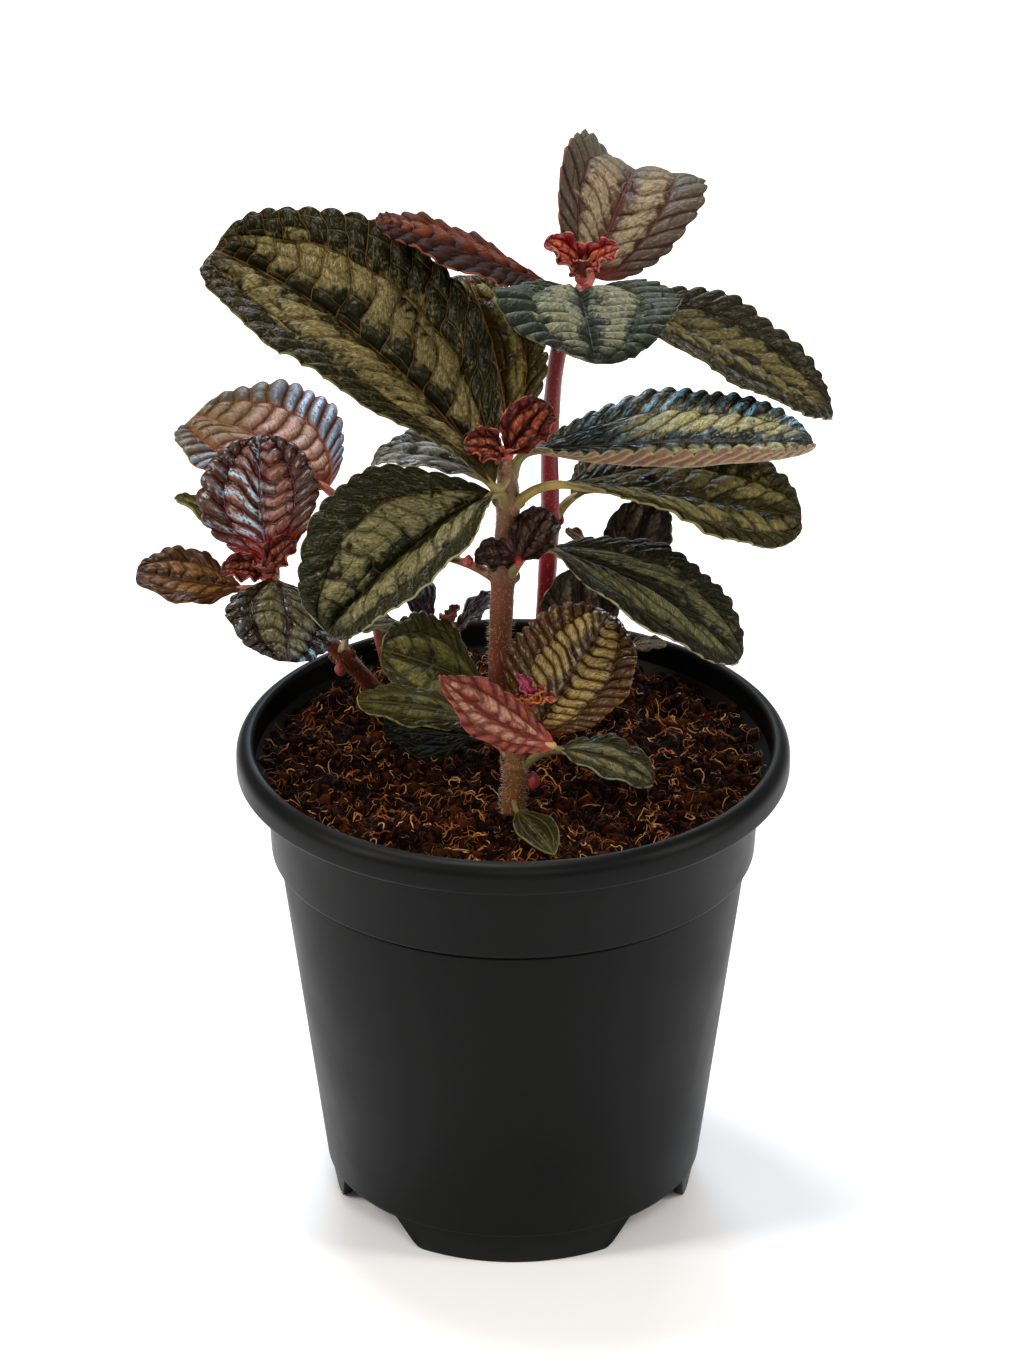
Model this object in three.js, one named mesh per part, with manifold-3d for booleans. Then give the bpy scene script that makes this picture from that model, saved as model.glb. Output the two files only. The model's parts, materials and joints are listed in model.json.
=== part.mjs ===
// A young pilea with quilted, wavy-edged leaves, in a black plastic nursery pot.
// Millimetres, +Z up, facing -Y. Every place below is measured from the pot's axis, at the level
// that its feet stand on. The whole is moved at the end, so that the origin is under its middle:
// the plant leans out to the left, and the pot's axis ends up a little to the right of the origin.
import * as THREE from 'three';
import { mergeVertices } from 'three/addons/utils/BufferGeometryUtils.js';
import Module from 'manifold-3d';

const wasm = await Module();
wasm.setup();

// Driving dimensions of the pot
const potHeight = 109;
const rimRadius = 60;
const rimMouthRadius = 56.3;
const lipBottom = 102.2;
const collarBottom = 83.2;
const collarRadius = 53.6;
const bodyTopRadius = 50.85;
const bodyFootRadius = 41.17;
const footHeight = 7.6;
const footRadius = 39.3;
const wall = 1.2;
const bodyTop = 82.2;
const collarStep = 1.85;
const floorThickness = 1.6;
const footThickness = 3.4;
const footGapAngle = 52.75;
const roundHoleRadius = 3;
const roundHoleRing = 20;
const slotLength = 7;
const slotWidth = 4;
const slotRing = 34.5;
const potFacets = 48;
const potAxisX = 5.5;

// Driving dimensions of the soil and the plant
const soilLevel = 103;
const soilFacets = 40;
const gap = 0.35;
const bladeThickness = 0.8;
const toothDepth = 1.3;
const petioleRadius = 1.1;

const group = new THREE.Group();
const degrees = Math.PI / 180;

// Materials, one for each kind of surface
const finishes = {
  pot: { color: 0x1b1b1c, roughness: 0.42, metalness: 0 },
  soil: { color: 0x3a2114, roughness: 0.95, metalness: 0 },
  greenStem: { color: 0x8f6a4c, roughness: 0.6, metalness: 0 },
  magentaStem: { color: 0x9c1f3f, roughness: 0.5, metalness: 0 },
  brownStem: { color: 0x8a4a2c, roughness: 0.55, metalness: 0 },
  olive: { color: 0x4a4a2e, roughness: 0.45, metalness: 0 },
  darkGreen: { color: 0x2f3a2c, roughness: 0.45, metalness: 0 },
  bronze: { color: 0x6a4a2a, roughness: 0.45, metalness: 0 },
  pink: { color: 0x8c4a4a, roughness: 0.5, metalness: 0 },
  red: { color: 0x8a1f2a, roughness: 0.5, metalness: 0 },
};

function addNode(name, solid, finish) {
  const mesh = new THREE.Mesh(toGeometry(solid), new THREE.MeshStandardMaterial(finishes[finish]));
  mesh.name = name;
  group.add(mesh);
  return mesh;
}

// Solids are kept as closed triangle sets, joined and cut as such, and turned to geometry at the end
function toSolid(geometry) {
  const bare = geometry.clone();
  bare.deleteAttribute('normal');
  bare.deleteAttribute('uv');
  const merged = mergeVertices(bare, 1e-4);
  return solidFrom(merged.attributes.position.array, merged.index.array);
}

function solidFrom(positions, triangles) {
  const vertProperties = new Float32Array(positions);
  const triVerts = new Uint32Array(triangles);
  return new wasm.Manifold(new wasm.Mesh({ numProp: 3, vertProperties, triVerts }));
}

function toGeometry(solid) {
  const mesh = solid.getMesh();
  const geometry = new THREE.BufferGeometry();
  geometry.setAttribute('position', new THREE.BufferAttribute(mesh.vertProperties, 3));
  geometry.setIndex(new THREE.BufferAttribute(mesh.triVerts, 1));
  geometry.computeVertexNormals();
  return geometry;
}

// The largest body of a joined solid: loose scraps are dropped
function wholeBody(solid) {
  const bodies = solid.decompose();
  return bodies.reduce((best, body) => (body.volume() > best.volume() ? body : best));
}

function turned(profile, facets) {
  const points = profile.map(([radius, height]) => new THREE.Vector2(radius, height));
  return toSolid(new THREE.LatheGeometry(points, facets).rotateX(Math.PI / 2));
}

// The pot: a tapered wall with a rolled lip, a collar and a floor raised on four feet
function makePot() {
  const lipUnderside = lipBottom - 1;
  const collarFoot = bodyTopRadius + collarStep;
  const shell = turned([
    [0, footHeight - 0.8],
    [bodyFootRadius - 1, footHeight - 0.8],
    [bodyFootRadius - 0.6, footHeight],
    [bodyFootRadius, footHeight],
    [bodyTopRadius, bodyTop],
    [collarFoot, collarBottom],
    [collarRadius, lipUnderside],
    [collarRadius + 1, lipBottom],
    [rimRadius - 0.7, lipBottom],
    [rimRadius, lipBottom + 2.4],
    [rimRadius - 0.1, potHeight - 2],
    [rimRadius - 0.9, potHeight - 0.5],
    [rimRadius - 1.9, potHeight],
    [rimRadius - 2.9, potHeight - 0.3],
    [rimMouthRadius, potHeight - 1.6],
    [rimMouthRadius - 0.4, lipBottom + 1.2],
    [collarRadius - wall, lipUnderside - 0.4],
    [collarFoot - wall, collarBottom + 0.8],
    [bodyTopRadius - wall, bodyTop - 0.2],
    [bodyFootRadius - wall + 0.2, footHeight + floorThickness],
    [0, footHeight + floorThickness],
  ], potFacets);
  return shell.add(makeFeet()).subtract(makeDrainHoles());
}

// The foot ring, cut by four gaps into a wide foot front and back and a narrow one each side
function makeFeet() {
  const inner = footRadius - footThickness;
  const ring = turned([
    [inner, 0],
    [footRadius, 0],
    [footRadius + 1.5, footHeight],
    [inner, footHeight],
    [inner, 0],
  ], potFacets);
  const opening = new THREE.Shape();
  opening.moveTo(-14.8, -1);
  opening.lineTo(-14.6, 0);
  opening.lineTo(-13, 1.6);
  opening.lineTo(-9.8, footHeight - 0.6);
  opening.lineTo(-9, footHeight + 1);
  opening.lineTo(9, footHeight + 1);
  opening.lineTo(9.8, footHeight - 0.6);
  opening.lineTo(13, 1.6);
  opening.lineTo(14.6, 0);
  opening.lineTo(14.8, -1);
  let feet = ring;
  for (const side of [-1, 1]) {
    for (const end of [-1, 1]) {
      const prism = new THREE.ExtrudeGeometry(opening, { depth: 20, bevelEnabled: false });
      prism.translate(0, 0, footRadius - 11);
      prism.applyMatrix4(new THREE.Matrix4().makeBasis(
        new THREE.Vector3(1, 0, 0), new THREE.Vector3(0, 0, 1), new THREE.Vector3(0, -1, 0)));
      prism.rotateZ(side * (end > 0 ? footGapAngle : 180 - footGapAngle) * degrees);
      feet = feet.subtract(toSolid(prism));
    }
  }
  return feet;
}

// Four round holes on the axes of the floor, and a slot in line with each gap between the feet
function makeDrainHoles() {
  const holes = [];
  const cut = 8;
  for (const side of [-1, 1]) {
    for (const end of [-1, 1]) {
      const quarter = (side + end === 0 ? 2 : 0) + (side > 0 ? 1 : 0);
      const round = new THREE.CylinderGeometry(roundHoleRadius, roundHoleRadius, cut, 10);
      round.rotateX(Math.PI / 2).translate(roundHoleRing, 0, footHeight);
      holes.push(toSolid(round.rotateZ(quarter * Math.PI / 2)));
      const slot = new THREE.BoxGeometry(slotLength, slotWidth, cut).translate(slotRing, 0, footHeight);
      const turn = end > 0 ? 90 - footGapAngle : 90 + footGapAngle;
      holes.push(toSolid(slot.rotateZ(side * turn * degrees)));
    }
  }
  return holes.reduce((all, hole) => all.add(hole));
}

// The soil's surface: low waves, coarse crumbs and a few clods towards the back left
const clods = [
  { x: -38, y: 26, spread: 6, height: 3.2 },
  { x: -28, y: 38, spread: 5, height: 2.6 },
  { x: -44, y: 10, spread: 5, height: 1.8 },
  { x: 22, y: 44, spread: 6, height: 2.2 },
  { x: 36, y: 30, spread: 5, height: 1.6 },
  { x: -6, y: 46, spread: 6, height: 2.4 },
];

function soilHeight(x, y) {
  const waves = 0.7 * Math.sin(0.21 * x + 0.4) * Math.cos(0.17 * y - 0.8);
  const crumbs = 0.55 * Math.sin(0.9 * x + 1.3 * Math.sin(0.5 * y)) * Math.sin(0.8 * y + 0.7);
  let height = soilLevel + waves + crumbs;
  for (const clod of clods) {
    const away = Math.hypot(x - clod.x, y - clod.y) / clod.spread;
    height += clod.height * Math.exp(-away * away);
  }
  return height;
}

function makeSoil() {
  const edge = rimMouthRadius - 1.2;
  const floorTop = footHeight + floorThickness + 0.4;
  const topRings = [7, 14, 21, 28, 35, 41.5, 48, edge];
  const sideRings = [
    [edge, lipBottom + 0.9],
    [collarRadius - wall - 0.7, lipBottom - 1.8],
    [bodyTopRadius + collarStep - wall - 0.6, collarBottom + 1.6],
    [bodyTopRadius - wall - 0.6, collarBottom - 1.8],
    [bodyFootRadius - wall - 0.5, floorTop],
  ];
  const positions = [0, 0, soilHeight(0, 0)];
  const rings = [...topRings.map((radius) => [radius, null]), ...sideRings];
  for (const [radius, level] of rings) {
    for (let step = 0; step < soilFacets; step += 1) {
      const angle = step / soilFacets * 2 * Math.PI;
      const x = radius * Math.cos(angle);
      const y = radius * Math.sin(angle);
      positions.push(x, y, level ?? Math.max(soilHeight(x, y), lipBottom + 0.3));
    }
  }
  positions.push(0, 0, floorTop);
  const last = positions.length / 3 - 1;
  const at = (ring, step) => 1 + ring * soilFacets + step % soilFacets;
  const triangles = [];
  for (let step = 0; step < soilFacets; step += 1) {
    triangles.push(0, at(0, step), at(0, step + 1));
    for (let ring = 0; ring + 1 < rings.length; ring += 1) {
      triangles.push(at(ring, step), at(ring + 1, step), at(ring + 1, step + 1));
      triangles.push(at(ring, step), at(ring + 1, step + 1), at(ring, step + 1));
    }
    triangles.push(last, at(rings.length - 1, step + 1), at(rings.length - 1, step));
  }
  return solidFrom(positions, triangles);
}

const toVector = ([x, y, z]) => new THREE.Vector3(x, y, z);

// A round stalk along a smooth line through points, with a radius at each point
function makeTube(points, radii, steps, sides, grow = 0) {
  const curve = new THREE.CatmullRomCurve3(points.map((point) => point.clone()));
  const frames = curve.computeFrenetFrames(steps, false);
  const positions = [];
  for (let step = 0; step <= steps; step += 1) {
    const share = step / steps;
    const centre = curve.getPointAt(share);
    const place = curve.getUtoTmapping(share) * (radii.length - 1);
    const before = Math.min(Math.floor(place), radii.length - 2);
    const radius = THREE.MathUtils.lerp(radii[before], radii[before + 1], place - before) + grow;
    for (let side = 0; side < sides; side += 1) {
      const angle = side / sides * 2 * Math.PI;
      const spot = centre.clone();
      spot.addScaledVector(frames.normals[step], Math.cos(angle) * radius);
      spot.addScaledVector(frames.binormals[step], Math.sin(angle) * radius);
      positions.push(spot.x, spot.y, spot.z);
    }
  }
  const foot = curve.getPointAt(0);
  const tip = curve.getPointAt(1);
  positions.push(foot.x, foot.y, foot.z, tip.x, tip.y, tip.z);
  const footIndex = (steps + 1) * sides;
  const triangles = [];
  for (let side = 0; side < sides; side += 1) {
    const next = (side + 1) % sides;
    for (let step = 0; step < steps; step += 1) {
      const low = step * sides;
      const high = low + sides;
      triangles.push(low + side, low + next, high + next);
      triangles.push(low + side, high + next, high + side);
    }
    triangles.push(footIndex, next, side);
    triangles.push(footIndex + 1, steps * sides + side, steps * sides + next);
  }
  return solidFrom(positions, triangles);
}

// Stems: the line each grows along, and its radius at evenly spread places on it
const stems = {
  main: {
    points: [[-3, 10, 93], [-3, 8.5, 107], [-2.8, 6, 127], [-2, 4, 148], [-1, 0.5, 168], [-2, -2, 175.5]],
    radii: [2.6, 2.5, 2.4, 2.5, 2.4, 1.9],
    steps: 16,
    finish: 'greenStem',
    inSoil: true,
  },
  back: {
    points: [[6.5, 40, 93], [6.6, 39, 103], [7, 36, 121], [8, 33, 145], [8, 30, 168], [10, 26, 190],
      [15, 21, 206]],
    radii: [2.1, 2.1, 2, 2, 1.9, 1.8, 1.6],
    steps: 16,
    finish: 'magentaStem',
    inSoil: true,
  },
  left: {
    points: [[-22, 27, 93], [-27, 23, 103], [-31, 20.5, 111], [-36, 17, 119], [-40, 14, 125],
      [-47, 8, 136], [-53, 3, 145]],
    radii: [2, 2, 1.8, 1.9, 1.8, 1.6, 1.4],
    steps: 14,
    finish: 'brownStem',
    inSoil: true,
  },
  backLeft: {
    points: [[-24, 40, 93], [-27, 38, 105], [-31, 36, 125], [-35, 34, 141], [-36.5, 33.5, 150.5]],
    radii: [1.8, 1.8, 1.6, 1.5, 1.3],
    steps: 10,
    finish: 'brownStem',
    inSoil: true,
  },
  inner: {
    points: [[-5.6, 10.4, 112], [-9, 12, 118], [-12.5, 12.5, 124], [-14.5, 12, 129]],
    radii: [1.4, 1.5, 1.4, 1.3],
    steps: 6,
    finish: 'brownStem',
  },
  front: {
    points: [[0, -21.6, 94], [0, -21.6, 104], [0.4, -21.2, 112], [1.2, -20.6, 118], [3, -19.4, 122.5]],
    radii: [2.6, 2.6, 2.4, 2.4, 2],
    steps: 9,
    finish: 'brownStem',
    inSoil: true,
  },
  backRight: {
    points: [[17, 43, 93], [17, 42, 103], [19, 37, 118], [22, 32, 131]],
    radii: [1.5, 1.5, 1.3, 1.1],
    steps: 7,
    finish: 'brownStem',
    inSoil: true,
  },
};

const stemSides = 7;

function stemLine(stem) {
  return new THREE.CatmullRomCurve3(stems[stem].points.map(toVector));
}

// The spot beside a stem, at a share of its length, that a stalk to target starts from
function besideStem(stem, share, target) {
  const line = stemLine(stem);
  const centre = line.getPointAt(share);
  const along = line.getTangentAt(share);
  const out = target.clone().sub(centre);
  out.addScaledVector(along, -out.dot(along)).normalize();
  const thickest = Math.max(...stems[stem].radii);
  return centre.addScaledVector(out, thickest + gap + petioleRadius * 0.2);
}

// A blade's axes: along it, out of its upper face and to its right
function bladeAxes({ heading, rise, roll = 0 }) {
  const turn = heading * degrees;
  const climb = rise * degrees;
  const lean = roll * degrees;
  const along = new THREE.Vector3(Math.cos(climb) * Math.cos(turn),
    Math.cos(climb) * Math.sin(turn), Math.sin(climb));
  const level = new THREE.Vector3(-Math.sin(climb) * Math.cos(turn),
    -Math.sin(climb) * Math.sin(turn), Math.cos(climb));
  const aside = new THREE.Vector3().crossVectors(along, level);
  const up = level.multiplyScalar(Math.cos(lean)).addScaledVector(aside, Math.sin(lean));
  const right = new THREE.Vector3().crossVectors(along, up);
  return { along, up, right };
}

// The midrib: stations with their own axes, as the blade droops, sweeps aside and twists
const midribSteps = 24;

function midrib(blade) {
  const { along, up, right } = bladeAxes(blade);
  const { droop = 0, sweep = 0, twist = 0, length } = blade;
  const axesAt = (share) => {
    const pitch = droop * degrees * (0.5 - share);
    const yaw = sweep * degrees * (share - 0.5);
    const turn = twist * degrees * (share - 0.5);
    const forward = along.clone().multiplyScalar(Math.cos(pitch) * Math.cos(yaw));
    forward.addScaledVector(up, Math.sin(pitch) * Math.cos(yaw));
    forward.addScaledVector(right, Math.sin(yaw));
    const above = up.clone().multiplyScalar(Math.cos(pitch)).addScaledVector(along, -Math.sin(pitch));
    above.addScaledVector(forward, -above.dot(forward)).normalize();
    const beside = new THREE.Vector3().crossVectors(forward, above);
    const face = above.multiplyScalar(Math.cos(turn)).addScaledVector(beside, Math.sin(turn));
    return { forward, face, side: new THREE.Vector3().crossVectors(forward, face) };
  };
  const stations = [{ spot: toVector(blade.base), ...axesAt(0) }];
  for (let step = 0; step < midribSteps; step += 1) {
    const ahead = axesAt((step + 0.5) / midribSteps).forward;
    const spot = stations[step].spot.clone().addScaledVector(ahead, length / midribSteps);
    stations.push({ spot, ...axesAt((step + 1) / midribSteps) });
  }
  return stations;
}

// Half the width at a share of the length: narrow at the base, broad past the middle, blunt at the tip
function halfWidth(blade, share) {
  const { peak = 1.12, baseCurve = 0.85, tipCurve = 0.42 } = blade;
  const inside = Math.min(Math.max(share, 0), 1);
  const power = baseCurve + (tipCurve - baseCurve) * inside;
  return blade.width / 2 * Math.pow(Math.max(Math.sin(Math.PI * Math.pow(inside, peak)), 0), power);
}

// A point of the blade: share runs along it, across from -1 at its left edge to 1 at its right
function bladePoint(blade, stations, share, across, inset = 0) {
  const step = Math.min(Math.floor(share * midribSteps), midribSteps - 1);
  const part = share * midribSteps - step;
  const low = stations[step];
  const high = stations[step + 1];
  const spot = low.spot.clone().lerp(high.spot, part);
  const face = low.face.clone().lerp(high.face, part);
  const side = low.side.clone().lerp(high.side, part);
  const hand = across < 0 ? -1 : 1;
  const fold = (hand < 0 ? blade.foldLeft ?? 12 : blade.foldRight ?? 12) * degrees;
  const curl = (hand < 0 ? blade.curlLeft ?? 0 : blade.curlRight ?? 0) * degrees + 0.001;
  const out = Math.abs(across);
  const flat = (Math.sin(fold + curl * out) - Math.sin(fold)) / curl;
  const lift = (Math.cos(fold) - Math.cos(fold + curl * out)) / curl;
  const reach = Math.max(halfWidth(blade, share) - inset, 0);
  const ripple = (blade.wave ?? 0.5) * Math.sin((blade.waves ?? 3) * 2 * Math.PI * share + hand) * out * out;
  spot.addScaledVector(side, hand * flat * reach);
  return spot.addScaledVector(face, lift * reach + ripple * Math.min(reach / 4, 1));
}

function bladeNormal(blade, stations, share, across) {
  const small = 0.01;
  const here = Math.min(Math.max(share, 0.03), 0.97);
  const sides = Math.abs(across) < small ? [-0.2, 0.2] : [across];
  const normal = new THREE.Vector3();
  for (const place of sides) {
    const near = Math.abs(place) > 0.9 ? place * 0.9 : place;
    const ahead = bladePoint(blade, stations, here + small, near);
    ahead.sub(bladePoint(blade, stations, here - small, near));
    const aside = bladePoint(blade, stations, here, near + small);
    aside.sub(bladePoint(blade, stations, here, near - small));
    normal.add(ahead.cross(aside).negate().normalize());
  }
  return normal.normalize();
}

// A thin plate on a sheet of triangles: the sheet above, its copy below and a wall round the edge
function makePlate(points, normals, triangles, thickness) {
  const positions = [];
  for (const side of [0.5, -0.5]) {
    points.forEach((point, index) => {
      const spot = point.clone().addScaledVector(normals[index], side * thickness);
      positions.push(spot.x, spot.y, spot.z);
    });
  }
  const below = points.length;
  const all = [];
  const edges = new Map();
  for (const [a, b, c] of triangles) {
    all.push(a, b, c, below + a, below + c, below + b);
    for (const [from, to] of [[a, b], [b, c], [c, a]]) edges.set(`${from},${to}`, [from, to]);
  }
  for (const [from, to] of edges.values()) {
    if (!edges.has(`${to},${from}`)) {
      all.push(to, from, below + from, to, below + from, below + to);
    }
  }
  return solidFrom(positions, all);
}

// A blade with rounded teeth: each tooth is a low spot, a crest and the next low spot on the edge
function makeBlade(blade) {
  const stations = midrib(blade);
  const teeth = blade.teeth;
  const columns = blade.length > 18 ? [-1, -0.5, 0, 0.5, 1] : [-1, 0, 1];
  const depth = Math.min(toothDepth, blade.width * 0.045 + 0.25);
  const points = [];
  const normals = [];
  const index = columns.map(() => []);
  const along = (place) => 0.45 * place + 0.55 * (1 - Math.cos(Math.PI * place)) / 2;
  const put = (share, across, inset) => {
    points.push(bladePoint(blade, stations, share, across, inset));
    normals.push(bladeNormal(blade, stations, share, across));
    return points.length - 1;
  };
  const base = put(0, 0, 0);
  const tip = put(1, 0, 0);
  columns.forEach((across, column) => {
    for (let step = 0; step <= 2 * teeth; step += 1) {
      const isEdge = Math.abs(across) === 1;
      if (step === 0) index[column].push(base);
      else if (step === 2 * teeth) index[column].push(tip);
      else if (isEdge) {
        const crest = step % 2 === 1;
        const place = (step + (crest ? 0.2 : 0)) / (2 * teeth);
        index[column].push(put(along(place), across, crest ? 0 : depth));
      } else if (step % 2 === 0) index[column].push(put(along(step / (2 * teeth)), across, 0));
      else index[column].push(-1);
    }
  });
  const triangles = [];
  const addTriangle = (a, b, c) => {
    if (a !== b && b !== c && c !== a) triangles.push([a, b, c]);
  };
  for (let column = 0; column + 1 < columns.length; column += 1) {
    const left = index[column];
    const right = index[column + 1];
    for (let step = 0; step < 2 * teeth; step += 2) {
      const [l0, l1, l2] = [left[step], left[step + 1], left[step + 2]];
      const [r0, r1, r2] = [right[step], right[step + 1], right[step + 2]];
      if (l1 >= 0) {
        addTriangle(l0, r0, l1);
        addTriangle(l1, r0, r2);
        addTriangle(l1, r2, l2);
      } else if (r1 >= 0) {
        addTriangle(l0, r0, r1);
        addTriangle(l0, r1, l2);
        addTriangle(l2, r1, r2);
      } else {
        addTriangle(l0, r0, l2);
        addTriangle(l2, r0, r2);
      }
    }
  }
  return makePlate(points, normals, triangles, bladeThickness);
}

// The stalk of a leaf, from beside its stem into the base of the blade
function makePetiole(blade) {
  const stations = midrib(blade);
  const base = stations[0].spot;
  const start = blade.from ? toVector(blade.from) : besideStem(blade.stem, blade.at, base);
  const radius = blade.stalk ?? petioleRadius;
  const sunk = bladePoint(blade, stations, 0.07, 0).addScaledVector(stations[1].face, -radius * 0.35);
  const before = base.clone().addScaledVector(stations[0].forward, -start.distanceTo(base) * 0.35);
  const middle = start.clone().lerp(base, 0.5).lerp(before, 0.4);
  return makeTube([start, middle, base, sunk], [radius, radius, radius * 0.9, radius * 0.55], 4, 5);
}

function makeLeaf(blade) {
  return wholeBody(makeBlade(blade).add(makePetiole(blade)));
}

// Leaves of the main stem, from its top down
const mainLeaves = {
  leaf_main_upper_left: {
    stem: 'main', at: 0.96, base: [-3.9, -7.9, 172.6], heading: 145, rise: 26, length: 83,
    width: 49, roll: 7, droop: 32, sweep: -7, twist: -21, foldLeft: 1, foldRight: 44, teeth: 13,
    finish: 'olive',
  },
  leaf_main_upper_right: {
    stem: 'main', at: 0.95, base: [3.3, -2, 178.1], heading: 4, rise: 0, length: 61, width: 34,
    roll: 20, droop: 19, sweep: -7, foldLeft: -6, foldRight: -22, curlRight: 116, teeth: 12,
    finish: 'darkGreen',
  },
  leaf_main_lower_left: {
    stem: 'main', at: 0.86, base: [-4.2, -5.4, 170], heading: 212, rise: -29, length: 47, width: 42,
    droop: 24, sweep: 2, foldLeft: 16, foldRight: 54, tipCurve: 0.35, teeth: 11,
    finish: 'darkGreen',
  },
  leaf_main_lower_right: {
    stem: 'main', at: 0.86, base: [10.2, -5.6, 172.3], heading: 11, rise: -14, length: 54,
    width: 36, roll: 10, droop: -1, sweep: 5, twist: 46, foldLeft: 7, foldRight: 13, teeth: 11,
    finish: 'darkGreen',
  },
  leaf_main_back_up: {
    stem: 'main', at: 0.97, base: [-1, 7.5, 176], heading: 106, rise: 36, length: 42, width: 25,
    roll: 14, droop: 34, foldLeft: 10, foldRight: 6, teeth: 9, finish: 'olive',
  },
  leaf_main_back_left: {
    stem: 'main', at: 0.84, base: [-5.9, 5, 168.5], heading: 171, rise: 5, length: 25, width: 22,
    roll: 4, droop: 40, sweep: 1, foldRight: 13, teeth: 7, finish: 'darkGreen',
  },
  leaf_main_middle_right: {
    stem: 'main', at: 0.64, base: [7.4, -2.6, 155.7], heading: -12, rise: -28, length: 48, width: 28,
    roll: 9, droop: 29, sweep: 4, foldLeft: 10, foldRight: 6, tipCurve: 0.43, teeth: 10,
    finish: 'darkGreen',
  },
  leaf_main_middle_left: {
    stem: 'main', at: 0.62, base: [-11, 9, 147], heading: 176, rise: -4, length: 30, width: 20,
    roll: -6, droop: 50, teeth: 7, finish: 'bronze',
  },
  leaf_main_foot_left: {
    stem: 'main', at: 0.24, base: [-6, -0.8, 120.9], heading: 194, rise: 28, length: 26, width: 27,
    roll: -17, droop: 13, sweep: 1, foldLeft: -11, foldRight: 16, tipCurve: 0.43, teeth: 8,
    finish: 'olive',
  },
  leaf_main_foot_low: {
    stem: 'main', at: 0.16, base: [-8.4, 3.2, 107.2], heading: 182, rise: 11, length: 20, width: 19,
    roll: -12, droop: -6, sweep: 1, foldLeft: 0, foldRight: 6, teeth: 6, stalk: 0.8,
    finish: 'olive',
  },
  leaf_main_foot_small: {
    stem: 'main', at: 0.19, base: [-4, -6.4, 115.4], heading: 206, rise: 60, length: 8, width: 8,
    droop: 10, teeth: 4, stalk: 0.6, finish: 'olive',
  },
};

// Leaves of the magenta stem at the back: all near its top
const backLeaves = {
  leaf_back_left: {
    stem: 'back', at: 0.93, base: [7.6, 26.3, 204.2], heading: 190, rise: 25, length: 41, width: 27,
    droop: 3, sweep: 2, foldLeft: -1, foldRight: 0, tipCurve: 0.43, teeth: 9, finish: 'pink',
  },
  leaf_back_right: {
    stem: 'back', at: 0.93, base: [20.3, 24.4, 201.9], heading: 0, rise: -30, length: 56, width: 34,
    roll: 4, droop: 11, sweep: 4, twist: -3, foldLeft: 16, foldRight: 7, tipCurve: 0.51, teeth: 11,
    finish: 'olive',
  },
  leaf_back_front: {
    stem: 'back', at: 0.98, base: [14, 15, 207.5], heading: -86, rise: 4, length: 44, width: 41,
    droop: 26, sweep: -4, foldLeft: 8, foldRight: 12, baseCurve: 0.6, teeth: 11, finish: 'darkGreen',
  },
  leaf_back_middle: {
    stem: 'back', at: 0.45, base: [12.5, 36, 149], heading: 36, rise: 6, length: 32, width: 22,
    droop: 30, teeth: 8, finish: 'olive',
  },
  leaf_back_up: {
    stem: 'back', at: 0.98, base: [16.8, 25.5, 206.4], heading: 73, rise: 16, length: 43, width: 34,
    roll: 11, droop: 131, sweep: -14, twist: -12, foldLeft: -3, foldRight: 9, curlLeft: 55,
    curlRight: -16, baseCurve: 0.43, tipCurve: 0.43, teeth: 10, finish: 'pink',
  },
};

// Leaves of the brown stem that leans out over the rim on the left
const leftLeaves = {
  leaf_left_up: {
    stem: 'left', at: 0.97, base: [-51.1, 4.4, 147.2], heading: 100, rise: 57, length: 30,
    width: 28, roll: -27, droop: 48, sweep: 9, foldLeft: 8, foldRight: 4, tipCurve: 0.52, teeth: 8,
    finish: 'bronze',
  },
  leaf_left_out: {
    stem: 'left', at: 0.95, base: [-58, 1.5, 144.1], heading: 180, rise: 9, length: 23, width: 20,
    roll: -6, droop: -3, sweep: 7, foldLeft: 3, foldRight: 14, tipCurve: 0.41, teeth: 7,
    finish: 'bronze',
  },
  leaf_left_front: {
    stem: 'left', at: 0.94, base: [-51.1, -1.5, 148], heading: -80, rise: -32, length: 22,
    width: 27, roll: -11, droop: 59, sweep: 5, foldLeft: -18, foldRight: -2, tipCurve: 0.47,
    teeth: 8, finish: 'bronze',
  },
  leaf_left_back: {
    stem: 'left', at: 0.95, base: [-56, 12, 147], heading: 162, rise: 32, length: 21, width: 10,
    droop: 10, foldLeft: 24, foldRight: 24, teeth: 6, stalk: 0.8, finish: 'olive',
  },
  leaf_left_low: {
    stem: 'left', at: 0.5, base: [-35.5, 21, 124], heading: 26, rise: -4, length: 12, width: 9,
    droop: 20, stalk: 0.7, teeth: 4, finish: 'darkGreen',
  },
};

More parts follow.
